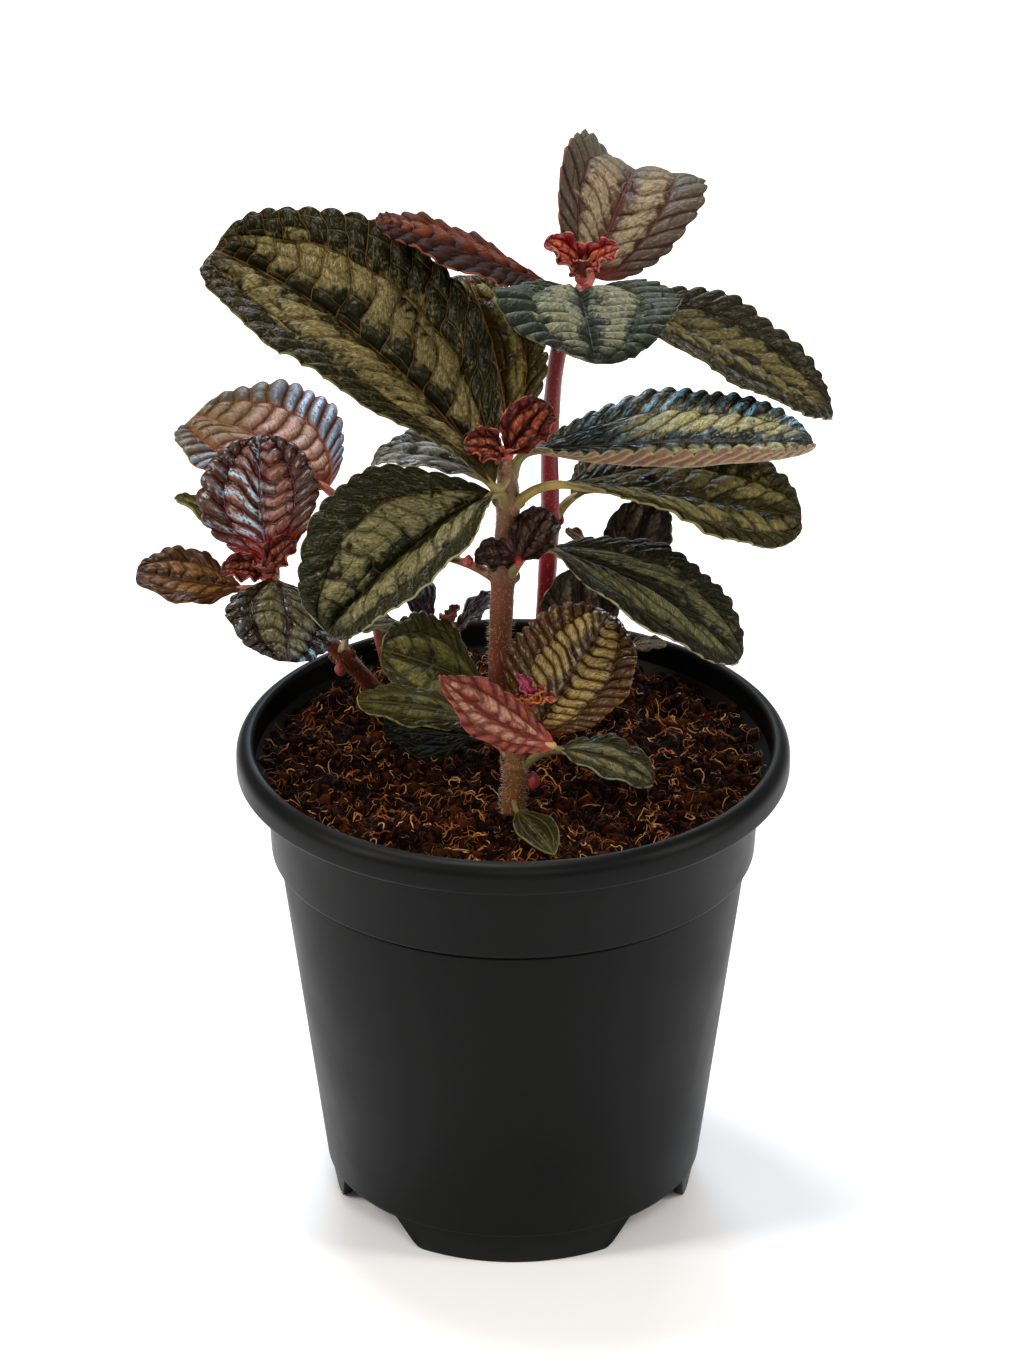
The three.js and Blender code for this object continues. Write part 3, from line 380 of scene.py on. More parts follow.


# Leaf skin, upper side: waxy, quilted, faintly hairy. The eye gets dark cells with a broken shine on their
# crowns, partly painted glints, painted shade in the grooves, two pale streaky bands, thin sunk ribs and a
# fine light rim
def leafSurface(tree, look):
    fromMid, fromSide, fromRim = factsOf(tree, "ribs")
    innerPhase, outerPhase, zone = factsOf(tree, "cells")
    innerPitch, outerPitch, size = factsOf(tree, "pitch")
    innerSplit, outerSplit, splitSize = factsOf(tree, "split")
    ahead, aside, share = factsOf(tree, "flat")
    blotch, mottle, grain = noiseIn(tree, 7, 4.0), noiseIn(tree, 1.6, 3.0), noiseIn(tree, 0.35)
    # the blade's own place, mirrored at the midrib, so that strokes and net slant forward on both sides
    mirrored = addNode(tree, "ShaderNodeCombineXYZ", {0: ahead, 1: maths("ABSOLUTE", aside)})
    slanted = addNode(tree, "ShaderNodeVectorRotate", {"Vector": mirrored, "Angle": -0.8},
                      rotation_type="Z_AXIS")
    # light strokes 0.3 mm wide and 2 mm long
    strokeMap = addNode(tree, "ShaderNodeMapping", {"Vector": slanted, "Scale": (0.7, 2.6, 1.0)})
    strokes = addNode(tree, "ShaderNodeTexNoise", {"Vector": strokeMap, "Scale": 1.0, "Detail": 3.0,
                                                   "Distortion": 1.1}, noise_dimensions="2D")
    net = netOf(addNode(tree, "ShaderNodeMapping", {"Vector": slanted, "Scale": (0.3, 0.5, 1.0)}), 1.0)
    isOuter = step(zone, 0.99, 1.01)

    def here(inner, outer):
        return addNode(tree, "ShaderNodeMix", {0: isOuter, 2: inner, 3: outer})

    # millimetres to the cross ribs, the side rib and the short ribs that part the cells of one pleat
    arch = here(fromRib(innerPhase), fromRib(outerPhase))
    cross = arch * here(innerPitch, outerPitch) * 0.5
    side = maths("ABSOLUTE", fromSide)
    ends = maths("MINIMUM", fromMid, side + (1 - look.sideDip) * 4)
    pleat = maths("FLOOR", here(innerPhase, outerPhase))
    split = here(innerSplit, outerSplit) + pleat * 0.618
    short = fromRib(split) * splitSize * 0.5
    nearest = maths("MINIMUM", maths("MINIMUM", cross, short), ends)
    # painted shade: this mask is low in the grooves between cells and beside the ribs, and there the colours
    # stay dark for the shade that falls in them
    litCrown = step(arch, 0.02, look.valley) * step(ends, 0.0, 0.8) * step(short, 0.0, 0.6, 0.45, 1.0)
    # the pale bands feather out, each cell in its own way
    cellName = addNode(tree, "ShaderNodeCombineXYZ", {
        0: pleat, 1: maths("FLOOR", split), 2: maths("SIGN", aside) + isOuter})
    cell = addNode(tree, "ShaderNodeTexWhiteNoise", {"Vector": cellName}, noise_dimensions="3D")
    edge = (cell - 0.5) * look.toothed + (maths("FRACT", innerPhase) - 0.5) * 0.16
    edge = edge + (mottle - 0.5) * 0.85 + (blotch - 0.5) * 0.5
    place = zone + edge
    low, high = look.band
    band = step(place, low - 0.15, low + 0.15) * step(place, high + 0.12, high - 0.12)
    band = band * (step(share, *look.paleFrom) * step(share, 0.99, 0.86)) * step(strokes, 0.32, 0.6, 0.4, 1.0)
    # the pale band dims in the painted groove shade
    band = band * step(litCrown, 0.0, 0.7, look.groovePale, 1.0)
    pale = maths("MINIMUM", band + isOuter * litCrown * step(strokes, 0.5, 0.72, 0.0, 0.3), 1.0)
    # painted glints: a highlight colour painted along the pleats' ridges and beside the midrib
    ridge = step(arch, 0.5, 0.8) * step(strokes, 0.42, 0.52)
    beside = step(fromMid, 0.25, 0.45) * step(fromMid, 0.95, 0.6)
    glint = maths("MAXIMUM", ridge, beside * step(mottle, 0.45, 0.6, 0.0, 0.8))
    glint = glint * step(zone, 0.8, 1.0, look.innerShine, 1.0) * step(blotch, 0.4, 0.58, 0.1, look.frost)
    glint = glint * step(aside, 2.0, -2.0, look.leftShine, 1.0) * step(share, 0.12, 0.35)
    glint = glint * step(share, *look.frostTo) * step(zone, 1.0, 1.1, 1.0, look.outerShine)
    thick = look.sideWidth
    skin = layers(
        look.dark,
        (litCrown * step(blotch, 0.3, 0.65, 0.6, 1.0) * step(cell, 0.0, 1.0, 0.7, 1.0), look.mid),
        (isOuter * step(litCrown, 0.0, 0.8), look.outer),
        (pale * 0.92, look.pale),
        (pale * step(strokes, 0.52, 0.74, 0.0, look.streaks), look.cream),
        (step(share + edge * 0.4, 0.5, 0.78, 0.0, 0.72), look.tip),
        # painted shade on the left half of the leaves that have it
        (step(aside, 0.3, -0.6, 0.0, 0.85), look.left),
        (step(mottle, 0.5, 0.75, 0.0, look.mottled), look.dark),
        # painted glints along the ridges
        (glint, look.frostColour),
        (step(net, 0.0, 0.05, 0.3, 0.0), look.dark),
        (step(cross, 0.07, 0.22, look.line, 0.0), look.vein),
        (step(short, 0.05, 0.18, look.line * 0.8, 0.0), look.vein),
        (step(side, thick * 0.25, thick, 0.75, 0.0) * step(share, 0.98, 0.8), look.rib),
        (step(fromMid, 0.08, 0.3, 0.85, 0.0), look.rib),
        (step(share, 0.0, look.baseReach, 0.8, 0.0), look.base),
        (step(fromRim, 0.04, 0.22, 0.7, 0.0), look.rim))
    rough = step(pale, 0.0, 1.0, look.gloss, look.gloss + 0.14) + step(grain, 0.3, 0.7, -0.03, 0.06)
    # heights in millimetres
    height = step(nearest, 0.0, 0.55, 0.0, 0.2) + step(net, 0.0, 0.2, 0.0, 0.08 * look.fine)
    height = height + strokes * (0.07 * look.fine) + mottle * (0.09 * look.fine) + grain * (0.01 * look.fine)
    height = height * step(size, 0.0, 1.0, 0.35, 1.0)
    return {"Base Color": skin, "Roughness": rough, "Normal": bump(height, 0.9, 1), "IOR": 1.45,
            "Specular IOR Level": look.shine}


# Leaf skin, underside: dull and soft, with the ribs standing out lighter
def undersideSurface(tree, look):
    fromMid, fromSide, _ = factsOf(tree, "ribs")
    innerPhase, outerPhase, zone = factsOf(tree, "cells")
    net = netOf(addNode(tree, "ShaderNodeAttribute", output="Vector", attribute_name="flat"), 0.9)
    nearest = addNode(tree, "ShaderNodeMix", {
        0: step(zone, 0.98, 1.02), 2: fromRib(innerPhase), 3: fromRib(outerPhase)})
    light = [under + (pale - under) * look.underLight
             for under, pale in zip(linear(look.under), linear(look.pale))]
    skin = layers(
        look.under,
        (step(noiseIn(tree, 6, 4.0), 0.3, 0.7, 0.0, 0.45), look.dark),
        (step(net, 0.02, 0.14, 0.25, 0.0), light),
        (step(nearest, 0.1, 0.4, 0.85, 0.0), light),
        (step(maths("ABSOLUTE", fromSide), 0.15, 0.5, 0.8, 0.0), light),
        (step(fromMid, 0.2, 0.7, 0.9, 0.0), light))
    return {"Base Color": skin, "Roughness": 0.6, "Normal": bump(net, 0.5, 0.2, invert=True), "IOR": 1.42,
            "Sheen Weight": 0.2, "Sheen Roughness": 0.5}


# Stalk and stem skin: juicy and smooth under a fine down; colour runs from its foot to its top
def stalkSurface(tree, foot, top):
    share, _, _ = factsOf(tree, "stalk")
    blotch, speck = noiseIn(tree, 5, 4.0), noiseIn(tree, 0.5)
    skin = layers(foot, (blotch * 0.5 + share - 0.25, top), (step(blotch, 0.45, 0.75, 0.0, 0.5), "#3a1c12"),
                  (step(speck, 0.6, 0.72, 0.0, 0.25), "#d8b89a"))
    return {"Base Color": skin, "Roughness": 0.45, "Normal": bump(speck, 0.35, 0.12), "IOR": 1.42,
            "Sheen Weight": 0.08, "Sheen Roughness": 0.45}


@cache
def leafSkin(finish):
    return makeMaterial(finish + "LeafSkin", lambda tree: leafSurface(tree, finishes[finish]))


@cache
def leafUnderside(finish):
    return makeMaterial(finish + "LeafUnderside", lambda tree: undersideSurface(tree, finishes[finish]))


@cache
def stalkSkin(name, foot, top):
    return makeMaterial(name, lambda tree: stalkSurface(tree, foot, top))


def leafStalkSkin(finish):
    return stalkSkin(finish + "Stalk", finishes[finish].stalk, finishes[finish].stalk)


# The blade's formula is the frame's own: axes, a midrib that droops, sweeps and twists, and a fold each side
def midrib(leaf, steps=96):
    heading, climb, lean = (math.radians(angle) for angle in (leaf.heading, leaf.rise, leaf.roll))
    along = np.array([math.cos(climb) * math.cos(heading), math.cos(climb) * math.sin(heading),
                      math.sin(climb)])
    level = np.array([-math.sin(climb) * math.cos(heading), -math.sin(climb) * math.sin(heading),
                      math.cos(climb)])
    up = level * math.cos(lean) + np.cross(along, level) * math.sin(lean)
    right = np.cross(along, up)

    def axesAt(share):
        pitch = math.radians(leaf.droop) * (0.5 - share)
        yaw, turn = (math.radians(angle) * (share - 0.5) for angle in (leaf.sweep, leaf.twist))
        forward = (along * math.cos(pitch) + up * math.sin(pitch)) * math.cos(yaw) + right * math.sin(yaw)
        above = up * math.cos(pitch) - along * math.sin(pitch)
        above = above - forward * above.dot(forward)
        above /= np.linalg.norm(above)
        face = above * math.cos(turn) + np.cross(forward, above) * math.sin(turn)
        return forward, face, np.cross(forward, face)

    spots, axes = [np.array(leaf.base, float)], [axesAt(0)]
    for count in range(steps):
        spots.append(spots[-1] + axesAt((count + 0.5) / steps)[0] * leaf.length / steps)
        axes.append(axesAt((count + 1) / steps))
    forwards, faces, sides = (np.array(column) for column in zip(*axes))
    return np.array(spots), forwards, faces, sides


def smooth(value, low, high):
    share = np.clip((value - low) / (high - low), 0, 1)
    return share * share * (3 - 2 * share)


def rows(table, share):
    place = np.clip(share, 0, 1) * (len(table) - 1)
    return np.stack([np.interp(place, np.arange(len(table)), table[:, axis]) for axis in range(3)], -1)


# How many millimetres of blade one step of a phase takes, from the sheet's own lengths
def pitchOf(sheet, phase):
    down, beside = np.gradient(sheet, axis=0), np.gradient(sheet, axis=1)
    perDown, perBeside = np.gradient(phase, axis=0), np.gradient(phase, axis=1)
    downDown, both, besideBeside = (down * down).sum(-1), (down * beside).sum(-1), (beside * beside).sum(-1)
    spread = np.maximum(downDown * besideBeside - both * both, 1e-9)
    slope = perDown ** 2 * besideBeside - 2 * perDown * perBeside * both + perBeside ** 2 * downDown
    pitch = 1 / np.sqrt(np.maximum(slope / spread, 1e-6))
    middle = np.median(pitch)
    return np.clip(pitch, middle * 0.4, middle * 1.8)


# Seeded waves in two directions, the same for the same place; size is their breadth in mm
def wander(x, y, seed, size):
    flat = [noise.noise(Vector((a / size, b / size, seed))) for a, b in zip(x.ravel(), y.ravel())]
    return np.array(flat).reshape(x.shape)


def sheetNormals(sheet):
    normals = np.cross(np.gradient(sheet, axis=1), np.gradient(sheet, axis=0))
    normals = normals / np.maximum(np.linalg.norm(normals, axis=-1, keepdims=True), 1e-9)
    edge = max(2, len(sheet) // 40)
    normals[:edge] = normals[edge]
    normals[-edge:] = normals[-edge - 1]
    return normals


# A blade as a sheet of rows and columns: its places, and what the leaf skin needs to know about each
def bladeSheet(leaf, place, across):
    seed, width, stray = leaf.seed, leaf.width, leaf.stray
    # rows stand closer together towards the base and the tip
    share = 0.45 * place + 0.55 * (1 - np.cos(np.pi * place)) / 2
    hand = np.where(across < 0, -1.0, 1.0)
    out = np.abs(across)
    handed = hand * smooth(out, 0.0, 0.3)
    power = leaf.baseCurve + (leaf.tipCurve - leaf.baseCurve) * share
    reach = width / 2 * np.power(np.maximum(np.sin(np.pi * np.power(share, 1.12)), 0), power)
    # the crenate margin
    drift = 0.35 * np.sin(5.3 * share + seed + handed) + 0.2 * np.sin(11.7 * share + 2.1 * seed - handed)
    tooth = leaf.lobes * place + drift * 0.8 + 0.3 * handed
    part = np.power(tooth - np.floor(tooth), 1.25)
    notch = 1 - np.power(np.abs(np.sin(np.pi * part)), 0.55)
    deep = min(1.2, width * 0.03 + 0.2) * leaf.notch * smooth(share, 0.02, 0.1)
    inset = np.minimum(deep * notch * np.power(out, 9), reach * 0.6)
    # fold, curl and ripple
    fold = np.where(hand < 0, *leaf.fold) * math.pi / 180
    curl = np.where(hand < 0, *leaf.curl) * math.pi / 180 + 0.001
    reached = out * reach - inset
    outward = np.where(reach > 1e-6, reached / np.maximum(reach, 1e-6), 0)
    flatPart = (np.sin(fold + curl * outward) - np.sin(fold)) / curl * reach
    lift = (np.cos(fold) - np.cos(fold + curl * outward)) / curl * reach
    # the fold turns in a soft valley over the midrib, not a crease
    soft = np.minimum(reach * 0.16, 1.6) + 1e-6
    rounding = soft * np.exp(-reached / soft) * np.sin(fold) * 0.55
    ripple = leaf.wave * np.sin(leaf.waves * 2 * np.pi * share + hand) * out * out * np.minimum(reach / 4, 1)
    spots, _, faces, sides = midrib(leaf)
    sheet = (rows(spots, share) + rows(sides, share) * (hand * flatPart)[..., None]
             + rows(faces, share) * (lift + rounding + ripple)[..., None])
    # ribs: the midrib, one long side rib each side, and cross ribs that run forward from both and waver
    ahead, aside = share * leaf.length, across * reach
    broad, narrow = wander(ahead, aside, seed, 6.0), wander(ahead, aside, seed + 5, 2.2)
    sideRib = 0.5 + 0.07 * np.sin(np.pi * share) + 0.035 * broad + 0.012 * narrow
    zone = out / sideRib
    innerZone = np.clip(zone, 0, 1)
    outerZone = np.clip((out - sideRib) / (1 - sideRib), 0, 1)
    isOuter = zone > 1
    lean = leaf.leanIn * (0.75 + 0.6 * (1 - share))
    innerPhase = tooth * leaf.innerShare + lean * (1 - innerZone) + 0.37 * handed
    innerPhase = innerPhase + stray * (0.26 * broad + 0.1 * narrow)
    outerPhase = tooth + leaf.leanOut * np.power(1 - outerZone, 1.25)
    outerPhase = outerPhase + stray * (0.28 * broad + 0.1 * narrow) * (1 - np.power(out, 5))
    fromMid, fromSide = out * reach, (out - sideRib) * reach
    innerPitch, outerPitch = pitchOf(sheet, innerPhase), pitchOf(sheet, outerPhase)
    # short ribs cut the pleats into cells, each pleat at its own places
    waver = 0.2 * broad + 0.12 * narrow
    innerSplit, outerSplit = leaf.innerCells * innerZone + waver, leaf.outerCells * outerZone + waver * 0.7
    splitSize = np.where(isOuter, (1 - sideRib) * reach / leaf.outerCells, sideRib * reach / leaf.innerCells)
    size = np.minimum(reach / 5, 1) * smooth(share, 0.0, 0.12) * smooth(share, 1.0, 0.95)
    # each cell is a pillow between its ribs: a round crown, a sharp groove, and no two alike
    phase, pitch = np.where(isOuter, outerPhase, innerPhase), np.where(isOuter, outerPitch, innerPitch)
    swell = np.power(np.sin(np.pi * np.power(np.mod(phase, 1), 0.88)), 0.6)
    cut = np.mod(np.where(isOuter, outerSplit, innerSplit) + 0.618 * np.floor(phase), 1)
    depth = leaf.cellDepth * np.where(isOuter, leaf.outerDepth, 1)
    swell = swell * (1 - depth * (1 - np.power(np.sin(np.pi * cut), 0.45)))
    ends = 1 - np.exp(-np.power(fromMid, 1.5))
    ends = ends * (1 - leaf.sideDip * np.exp(-np.power(np.abs(fromSide) / 0.85, 1.5)))
    uneven = np.mod(np.sin((np.floor(phase) + np.where(isOuter, 31, 0) + hand * 57) * 12.9898 + seed)
                    * 43758.5453, 1)
    puff = np.minimum(pitch * 0.38, 1.5) * swell * ends * (1 - 0.25 * stray + 0.5 * stray * uneven)
    form = np.where(isOuter, 0.6 * np.sin(np.pi * outerZone * 0.85), 0.75 * np.sin(np.pi * innerZone))
    form = form * np.minimum(reach / 10, 1) * leaf.sideDip
    relief = puff + form + stray * (0.2 * broad + 0.1 * narrow) - 0.4 * np.power(out, 8)
    sheet = sheet + sheetNormals(sheet) * (relief * leaf.quilt * size)[..., None]
    return sheet, {
        "ribs": (fromMid, fromSide, np.maximum((1 - out) * reach, 0)),
        "cells": (innerPhase, outerPhase, zone),
        "pitch": (innerPitch, outerPitch, size),
        "split": (innerSplit, outerSplit, splitSize),
        "flat": (ahead, aside, share),
    }


# A grid is added flat, then each point of it is moved to its place on the blade
def addBlade(leaf):
    # quads about half a millimetre wide, and never fewer than six rows to a lobe
    rowCount, columnCount = max(leaf.lobes * 6, int(leaf.length / 0.55)), leaf.columns // 2 * 2
    bpy.ops.mesh.primitive_grid_add(x_subdivisions=columnCount, y_subdivisions=rowCount, size=1)
    blade = bpy.context.object
    mesh = blade.data
    flat = placesOf(mesh)
    order = np.lexsort((flat[:, 0], np.round(flat[:, 1], 6)))
    ownPlace = np.argsort(order)
    shape = (rowCount + 1, columnCount + 1)
    # columns stand closer together near the midrib and the rim
    across = (flat[order, 0] * 2).reshape(shape)
    across = across + 0.06 * np.sin(2 * np.pi * across)
    sheet, facts = bladeSheet(leaf, (flat[order, 1] + 0.5).reshape(shape), across)
    setPlaces(mesh, sheet.reshape(-1, 3)[ownPlace])
    for name, three in facts.items():
        setFact(mesh, name, np.stack(three, -1).reshape(-1, 3)[ownPlace])
    for skin in (leafSkin, leafUnderside, leafStalkSkin):
        mesh.materials.append(skin(leaf.finish))
    with editing(blade):
        bpy.ops.mesh.remove_doubles(threshold=0.00001)
    wall = blade.modifiers.new("thickness", "SOLIDIFY")
    wall.thickness = leaf.thick * mm
    wall.offset = 0
    wall.material_offset = 1
    bpy.ops.object.modifier_apply(modifier=wall.name)
    return blade


# A smooth line through points, sampled evenly along its length
def smoothLine(points, count):
    points = [np.array(point, float) for point in points]
    points = [2 * points[0] - points[1], *points, 2 * points[-1] - points[-2]]
    fine, places = [], []
    for start in range(1, len(points) - 2):
        p0, p1, p2, p3 = points[start - 1:start + 3]
        d0, d1, d2 = (max(np.linalg.norm(b - a) ** 0.5, 1e-4) for a, b in ((p0, p1), (p1, p2), (p2, p3)))
        t1 = ((p1 - p0) / d0 - (p2 - p0) / (d0 + d1) + (p2 - p1) / d1) * d1
        t2 = ((p2 - p1) / d1 - (p3 - p1) / (d1 + d2) + (p3 - p2) / d2) * d1
        for part in np.linspace(0, 1, 24, endpoint=False):
            fine.append(p1 + t1 * part + (3 * p2 - 3 * p1 - 2 * t1 - t2) * part ** 2
                        + (2 * p1 - 2 * p2 + t1 + t2) * part ** 3)
            places.append(start - 1 + part)
    fine = np.array([*fine, points[-2]])
    places.append(len(points) - 3)
    run = np.concatenate([[0], np.cumsum(np.linalg.norm(np.diff(fine, axis=0), axis=1))])
    even = np.linspace(0, run[-1], count)
    line = np.stack([np.interp(even, run, fine[:, axis]) for axis in range(3)], -1)
    return line, np.interp(even, run, places) / (len(points) - 3)


def turnedAxes(line):
    forward = np.gradient(line, axis=0)
    forward /= np.linalg.norm(forward, axis=1, keepdims=True)
    side = np.cross(forward[0], [0.3, 0.9, 0.2])
    sides = []
    for ahead in forward:
        side = side - ahead * side.dot(ahead)
        side = side / np.linalg.norm(side)
        sides.append(side)
    sides = np.array(sides)
    return forward, sides, np.cross(forward, sides)


# A cylinder is cut into rings, and the rings are moved along a line; bulge shapes each ring
def addTube(line, radii, sideCount, skin, bulge=None):
    ringCount = len(line)
    bpy.ops.mesh.primitive_cylinder_add(vertices=sideCount, radius=1, depth=1, end_fill_type="TRIFAN")
    tube = bpy.context.object
    mesh = tube.data
    with editing(tube):
        bpy.ops.mesh.select_all(action="DESELECT")
        for edge in bmesh.from_edit_mesh(mesh).edges:
            if abs(edge.verts[0].co.z - edge.verts[1].co.z) > 0.5:
                edge.select_set(True)
        bmesh.update_edit_mesh(mesh)
        bpy.ops.mesh.subdivide(number_cuts=ringCount - 2)
    places = placesOf(mesh)
    ring = np.clip(np.round((places[:, 2] + 0.5) * (ringCount - 1)).astype(int), 0, ringCount - 1)
    angle = np.arctan2(places[:, 1], places[:, 0])
    share = ring / (ringCount - 1)
    radius = np.asarray(radii)[ring] * np.hypot(places[:, 0], places[:, 1])
    if bulge:
        radius = radius * bulge(share, angle)
    _, sides, tops = turnedAxes(line)
    setPlaces(mesh, line[ring] + sides[ring] * (np.cos(angle) * radius)[:, None]
              + tops[ring] * (np.sin(angle) * radius)[:, None])
    setFact(mesh, "stalk", np.stack([share, angle, radius], -1))
    mesh.materials.append(skin)
    return tube


# Stems: what the frame calls their surface, colours at foot and top, how many hairs, points, radii, and
# the joints as shares of the length
def stemOf(slot, foot, top, hairs, points, radii, joints, **others):
    return SimpleNamespace(slot=slot, foot=foot, top=top, hairs=hairs, points=points, radii=radii,
                           joints=joints, **{"hairsFrom": 0.1, "stub": None, **others})


stems = {
    "main": stemOf("stem_green", "#6c1c0e", "#6c4c2c", 1500,
        ((-3, 10, 93), (-3, 8.5, 107), (-2.8, 6, 127), (-2, 4, 148), (-1, 0.5, 168), (-2, -2, 175.5)),
        (2.6, 2.5, 2.4, 2.5, 2.4, 1.9), (0.24, 0.63, 0.86)),
    "back": stemOf("stem_magenta", "#900c28", "#7c1418", 160,
        ((6.5, 40, 93), (6.6, 39, 103), (7, 36, 121), (8, 33, 145), (8, 30, 168), (10, 26, 190),
         (15, 21, 206)), (2.1, 2.1, 2, 2, 1.9, 1.8, 1.6), (0.45, 0.93)),
    "left": stemOf("stem_brown", "#6c2c14", "#7c3c1c", 420,
        ((-22, 27, 93), (-27, 23, 103), (-31, 20.5, 111), (-36, 17, 119), (-40, 14, 125), (-47, 8, 136),
         (-53, 3, 145)), (2, 2, 1.8, 1.9, 1.8, 1.6, 1.4), (0.5, 0.94), stub=(0.56, 4.2)),
    "backLeft": stemOf("stem_brown", "#7a3c2c", "#96503c", 220,
        ((-24, 40, 93), (-27, 38, 105), (-31, 36, 125), (-35, 34, 141), (-36.5, 33.5, 150.5)),
        (1.8, 1.8, 1.6, 1.5, 1.3), (0.5, 0.95)),
    "inner": stemOf("stem_brown", "#8c4a42", "#b06a62", 160,
        ((-5.6, 10.4, 112), (-9, 12, 118), (-12.5, 12.5, 124), (-14.5, 12, 129)),
        (1.4, 1.5, 1.4, 1.3), (0.95,), hairsFrom=0.0),
    "front": stemOf("stem_brown", "#5c2e0c", "#7c5428", 900,
        ((0, -21.6, 94), (0, -21.6, 104), (0.4, -21.2, 112), (1.2, -20.6, 118), (3, -19.4, 122.5)),
        (2.6, 2.6, 2.4, 2.4, 2), (0.66, 0.92)),
    "backRight": stemOf("stem_brown", "#6a3428", "#8c4c3c", 160,
        ((17, 43, 93), (17, 42, 103), (19, 37, 118), (22, 32, 131)), (1.5, 1.5, 1.3, 1.1), (0.45, 0.95)),
}
stemForm = {"rings": 70, "sides": 20, "swell": 0.16, "swellLength": 0.022, "scaleRings": 8}
hairForm = {"length": (0.6, 1.5), "radius": 0.05, "colour": "#e6dac8", "shade": "#a98a70"}


# Down: clear to whitish hairs a tenth of a millimetre thick, which catch the light round the stem's edge
def downSurface(tree):
    return {"Base Color": layers(hairForm["colour"], (noiseIn(tree, 2), hairForm["shade"])),
            "Roughness": 0.4, "IOR": 1.5}


@cache
def downSkin():
    return makeMaterial("clearDown", downSurface)


# Thin three-sided spikes from roots along directions, all in one mesh
def addSpikes(roots, directions, lengths):
    roots, directions = np.asarray(roots, float), np.asarray(directions, float)
    directions = directions / np.linalg.norm(directions, axis=1, keepdims=True)
    side = np.cross(directions, [0.31, 0.52, 0.79])
    side /= np.linalg.norm(side, axis=1, keepdims=True)
    top = np.cross(directions, side)
    spots = [roots + (side * math.cos(turn) + top * math.sin(turn)) * hairForm["radius"]
             for turn in (0, 2.0944, 4.1888)]
    spots.append(roots + directions * np.asarray(lengths)[:, None])
    first = np.arange(len(roots)) * 4
    faces = [np.stack([first + corner for corner in corners], 1)
             for corners in ((0, 1, 3), (1, 2, 3), (2, 0, 3), (0, 2, 1))]
    piece = meshPiece("down", np.stack(spots, 1).reshape(-1, 3), np.concatenate(faces).tolist())
    piece.data.materials.append(downSkin())
    return piece


def makeStem(name):
    stem = stems[name]
    count = stemForm["rings"]
    line, places = smoothLine(stem.points, count)
    radii = np.interp(places * (len(stem.radii) - 1), np.arange(len(stem.radii)), stem.radii)
    for joint in stem.joints:
        near = ((np.linspace(0, 1, count) - joint) / stemForm["swellLength"]) ** 2
        radii = radii * (1 + stemForm["swell"] * np.exp(-near))
    draw = random.Random(name)
    turns = [draw.uniform(0, 6.28) for _ in range(3)]

    def bulge(share, angle):
        return (1 + 0.03 * np.sin(5 * angle + turns[0]) + 0.025 * np.sin(2 * angle + 9 * share + turns[1])
                + 0.02 * np.sin(40 * share + turns[2]))

    skin = stalkSkin(name + "StemSkin", stem.foot, stem.top)
    pieces = [addTube(line, radii, stemForm["sides"], skin, bulge)]
    forward, sides, tops = turnedAxes(line)
    roots, directions, lengths = [], [], []
    for _ in range(stem.hairs):
        at = int(draw.uniform(stem.hairsFrom, 1) * (count - 1))
        turn = draw.uniform(0, fullTurn)
        out = sides[at] * math.cos(turn) + tops[at] * math.sin(turn)
        roots.append(line[at] + out * radii[at] * 0.97 + forward[at] * draw.uniform(0, 0.8))
        directions.append(out + forward[at] * draw.uniform(-0.5, 0.9))
        lengths.append(draw.uniform(*hairForm["length"]))
    pieces.append(addSpikes(roots, directions, lengths))
    # two small pointed scales sit on each joint
    rings = stemForm["scaleRings"]
    scaleRadii = np.interp(np.linspace(0, 1, rings), (0, 0.4, 1), (0.8, 0.6, 0.08))
    for joint in stem.joints:
        at = int(joint * (count - 1))
        for side in (0.3, 3.3):
            out = sides[at] * math.cos(side) + tops[at] * math.sin(side)
            scale = [line[at] + out * radii[at] * 0.8,
                     line[at] + out * (radii[at] + 0.35) + forward[at] * 0.9,
                     line[at] + out * (radii[at] + 0.5) + forward[at] * 2.4]
            pieces.append(addTube(smoothLine(scale, rings)[0], scaleRadii, 8, skin))
    if stem.stub:
        # what is left of a lost stalk, pale where it broke
        place, tall = stem.stub
        at = int(place * (count - 1))
        foot = line[at] + np.array([0.6, -1.0, 0.6]) * radii[at] * 0.6
        track, _ = smoothLine([foot, foot + np.array([0.5, -0.9, 0.75]) * tall * 0.5,
                               foot + np.array([0.25, -0.75, 1.0]) * tall], 14)
        stubRadii = np.interp(np.linspace(0, 1, 14), (0, 0.15, 0.8, 1), (1.0, 0.75, 0.7, 0.5))
        pieces.append(addTube(track, stubRadii, 12, stalkSkin("brokenStalk", "#b08a5c", "#d8c49a")))
    settle(join("hairy_stem_" + name, *pieces), stem.slot, "stem_" + name)


# Leaves, as in the frame: the stem and the share of its length where the stalk starts, the blade's base,
# heading and rise in degrees, length and width, and the lobes on each side that the eye sees
plainLeaf = dict(
    # degrees; fold and curl are of the left and the right half
    roll=0, droop=0, sweep=0, twist=0, fold=(12, 12), curl=(0, 0), baseCurve=0.85, tipCurve=0.42, notch=1.0,
    wave=0.5, waves=3, thick=0.5, stalk=1.1,
    # cross ribs to a lobe, how far they run forward, cells to a pleat, and how high all of it stands
    innerShare=0.5, leanIn=1.0, leanOut=1.5, innerCells=2.0, outerCells=0.6, cellDepth=0.5, outerDepth=0.5,
    sideDip=1.0, quilt=0.6)


def leafOf(stem, at, base, aim, size, lobes, finish, **others):
    (heading, rise), (length, width) = aim, size
    # how far the cross ribs stray, and the blade's columns, unless a leaf has its own
    sized = {"stray": float(np.clip(width / 45, 0.3, 1)), "columns": int(np.clip(width * 1.75, 24, 84))}
    return SimpleNamespace(stem=stem, at=at, base=base, heading=heading, rise=rise, length=length,
                           width=width, lobes=lobes, finish=finish, **{**plainLeaf, **sized, **others})


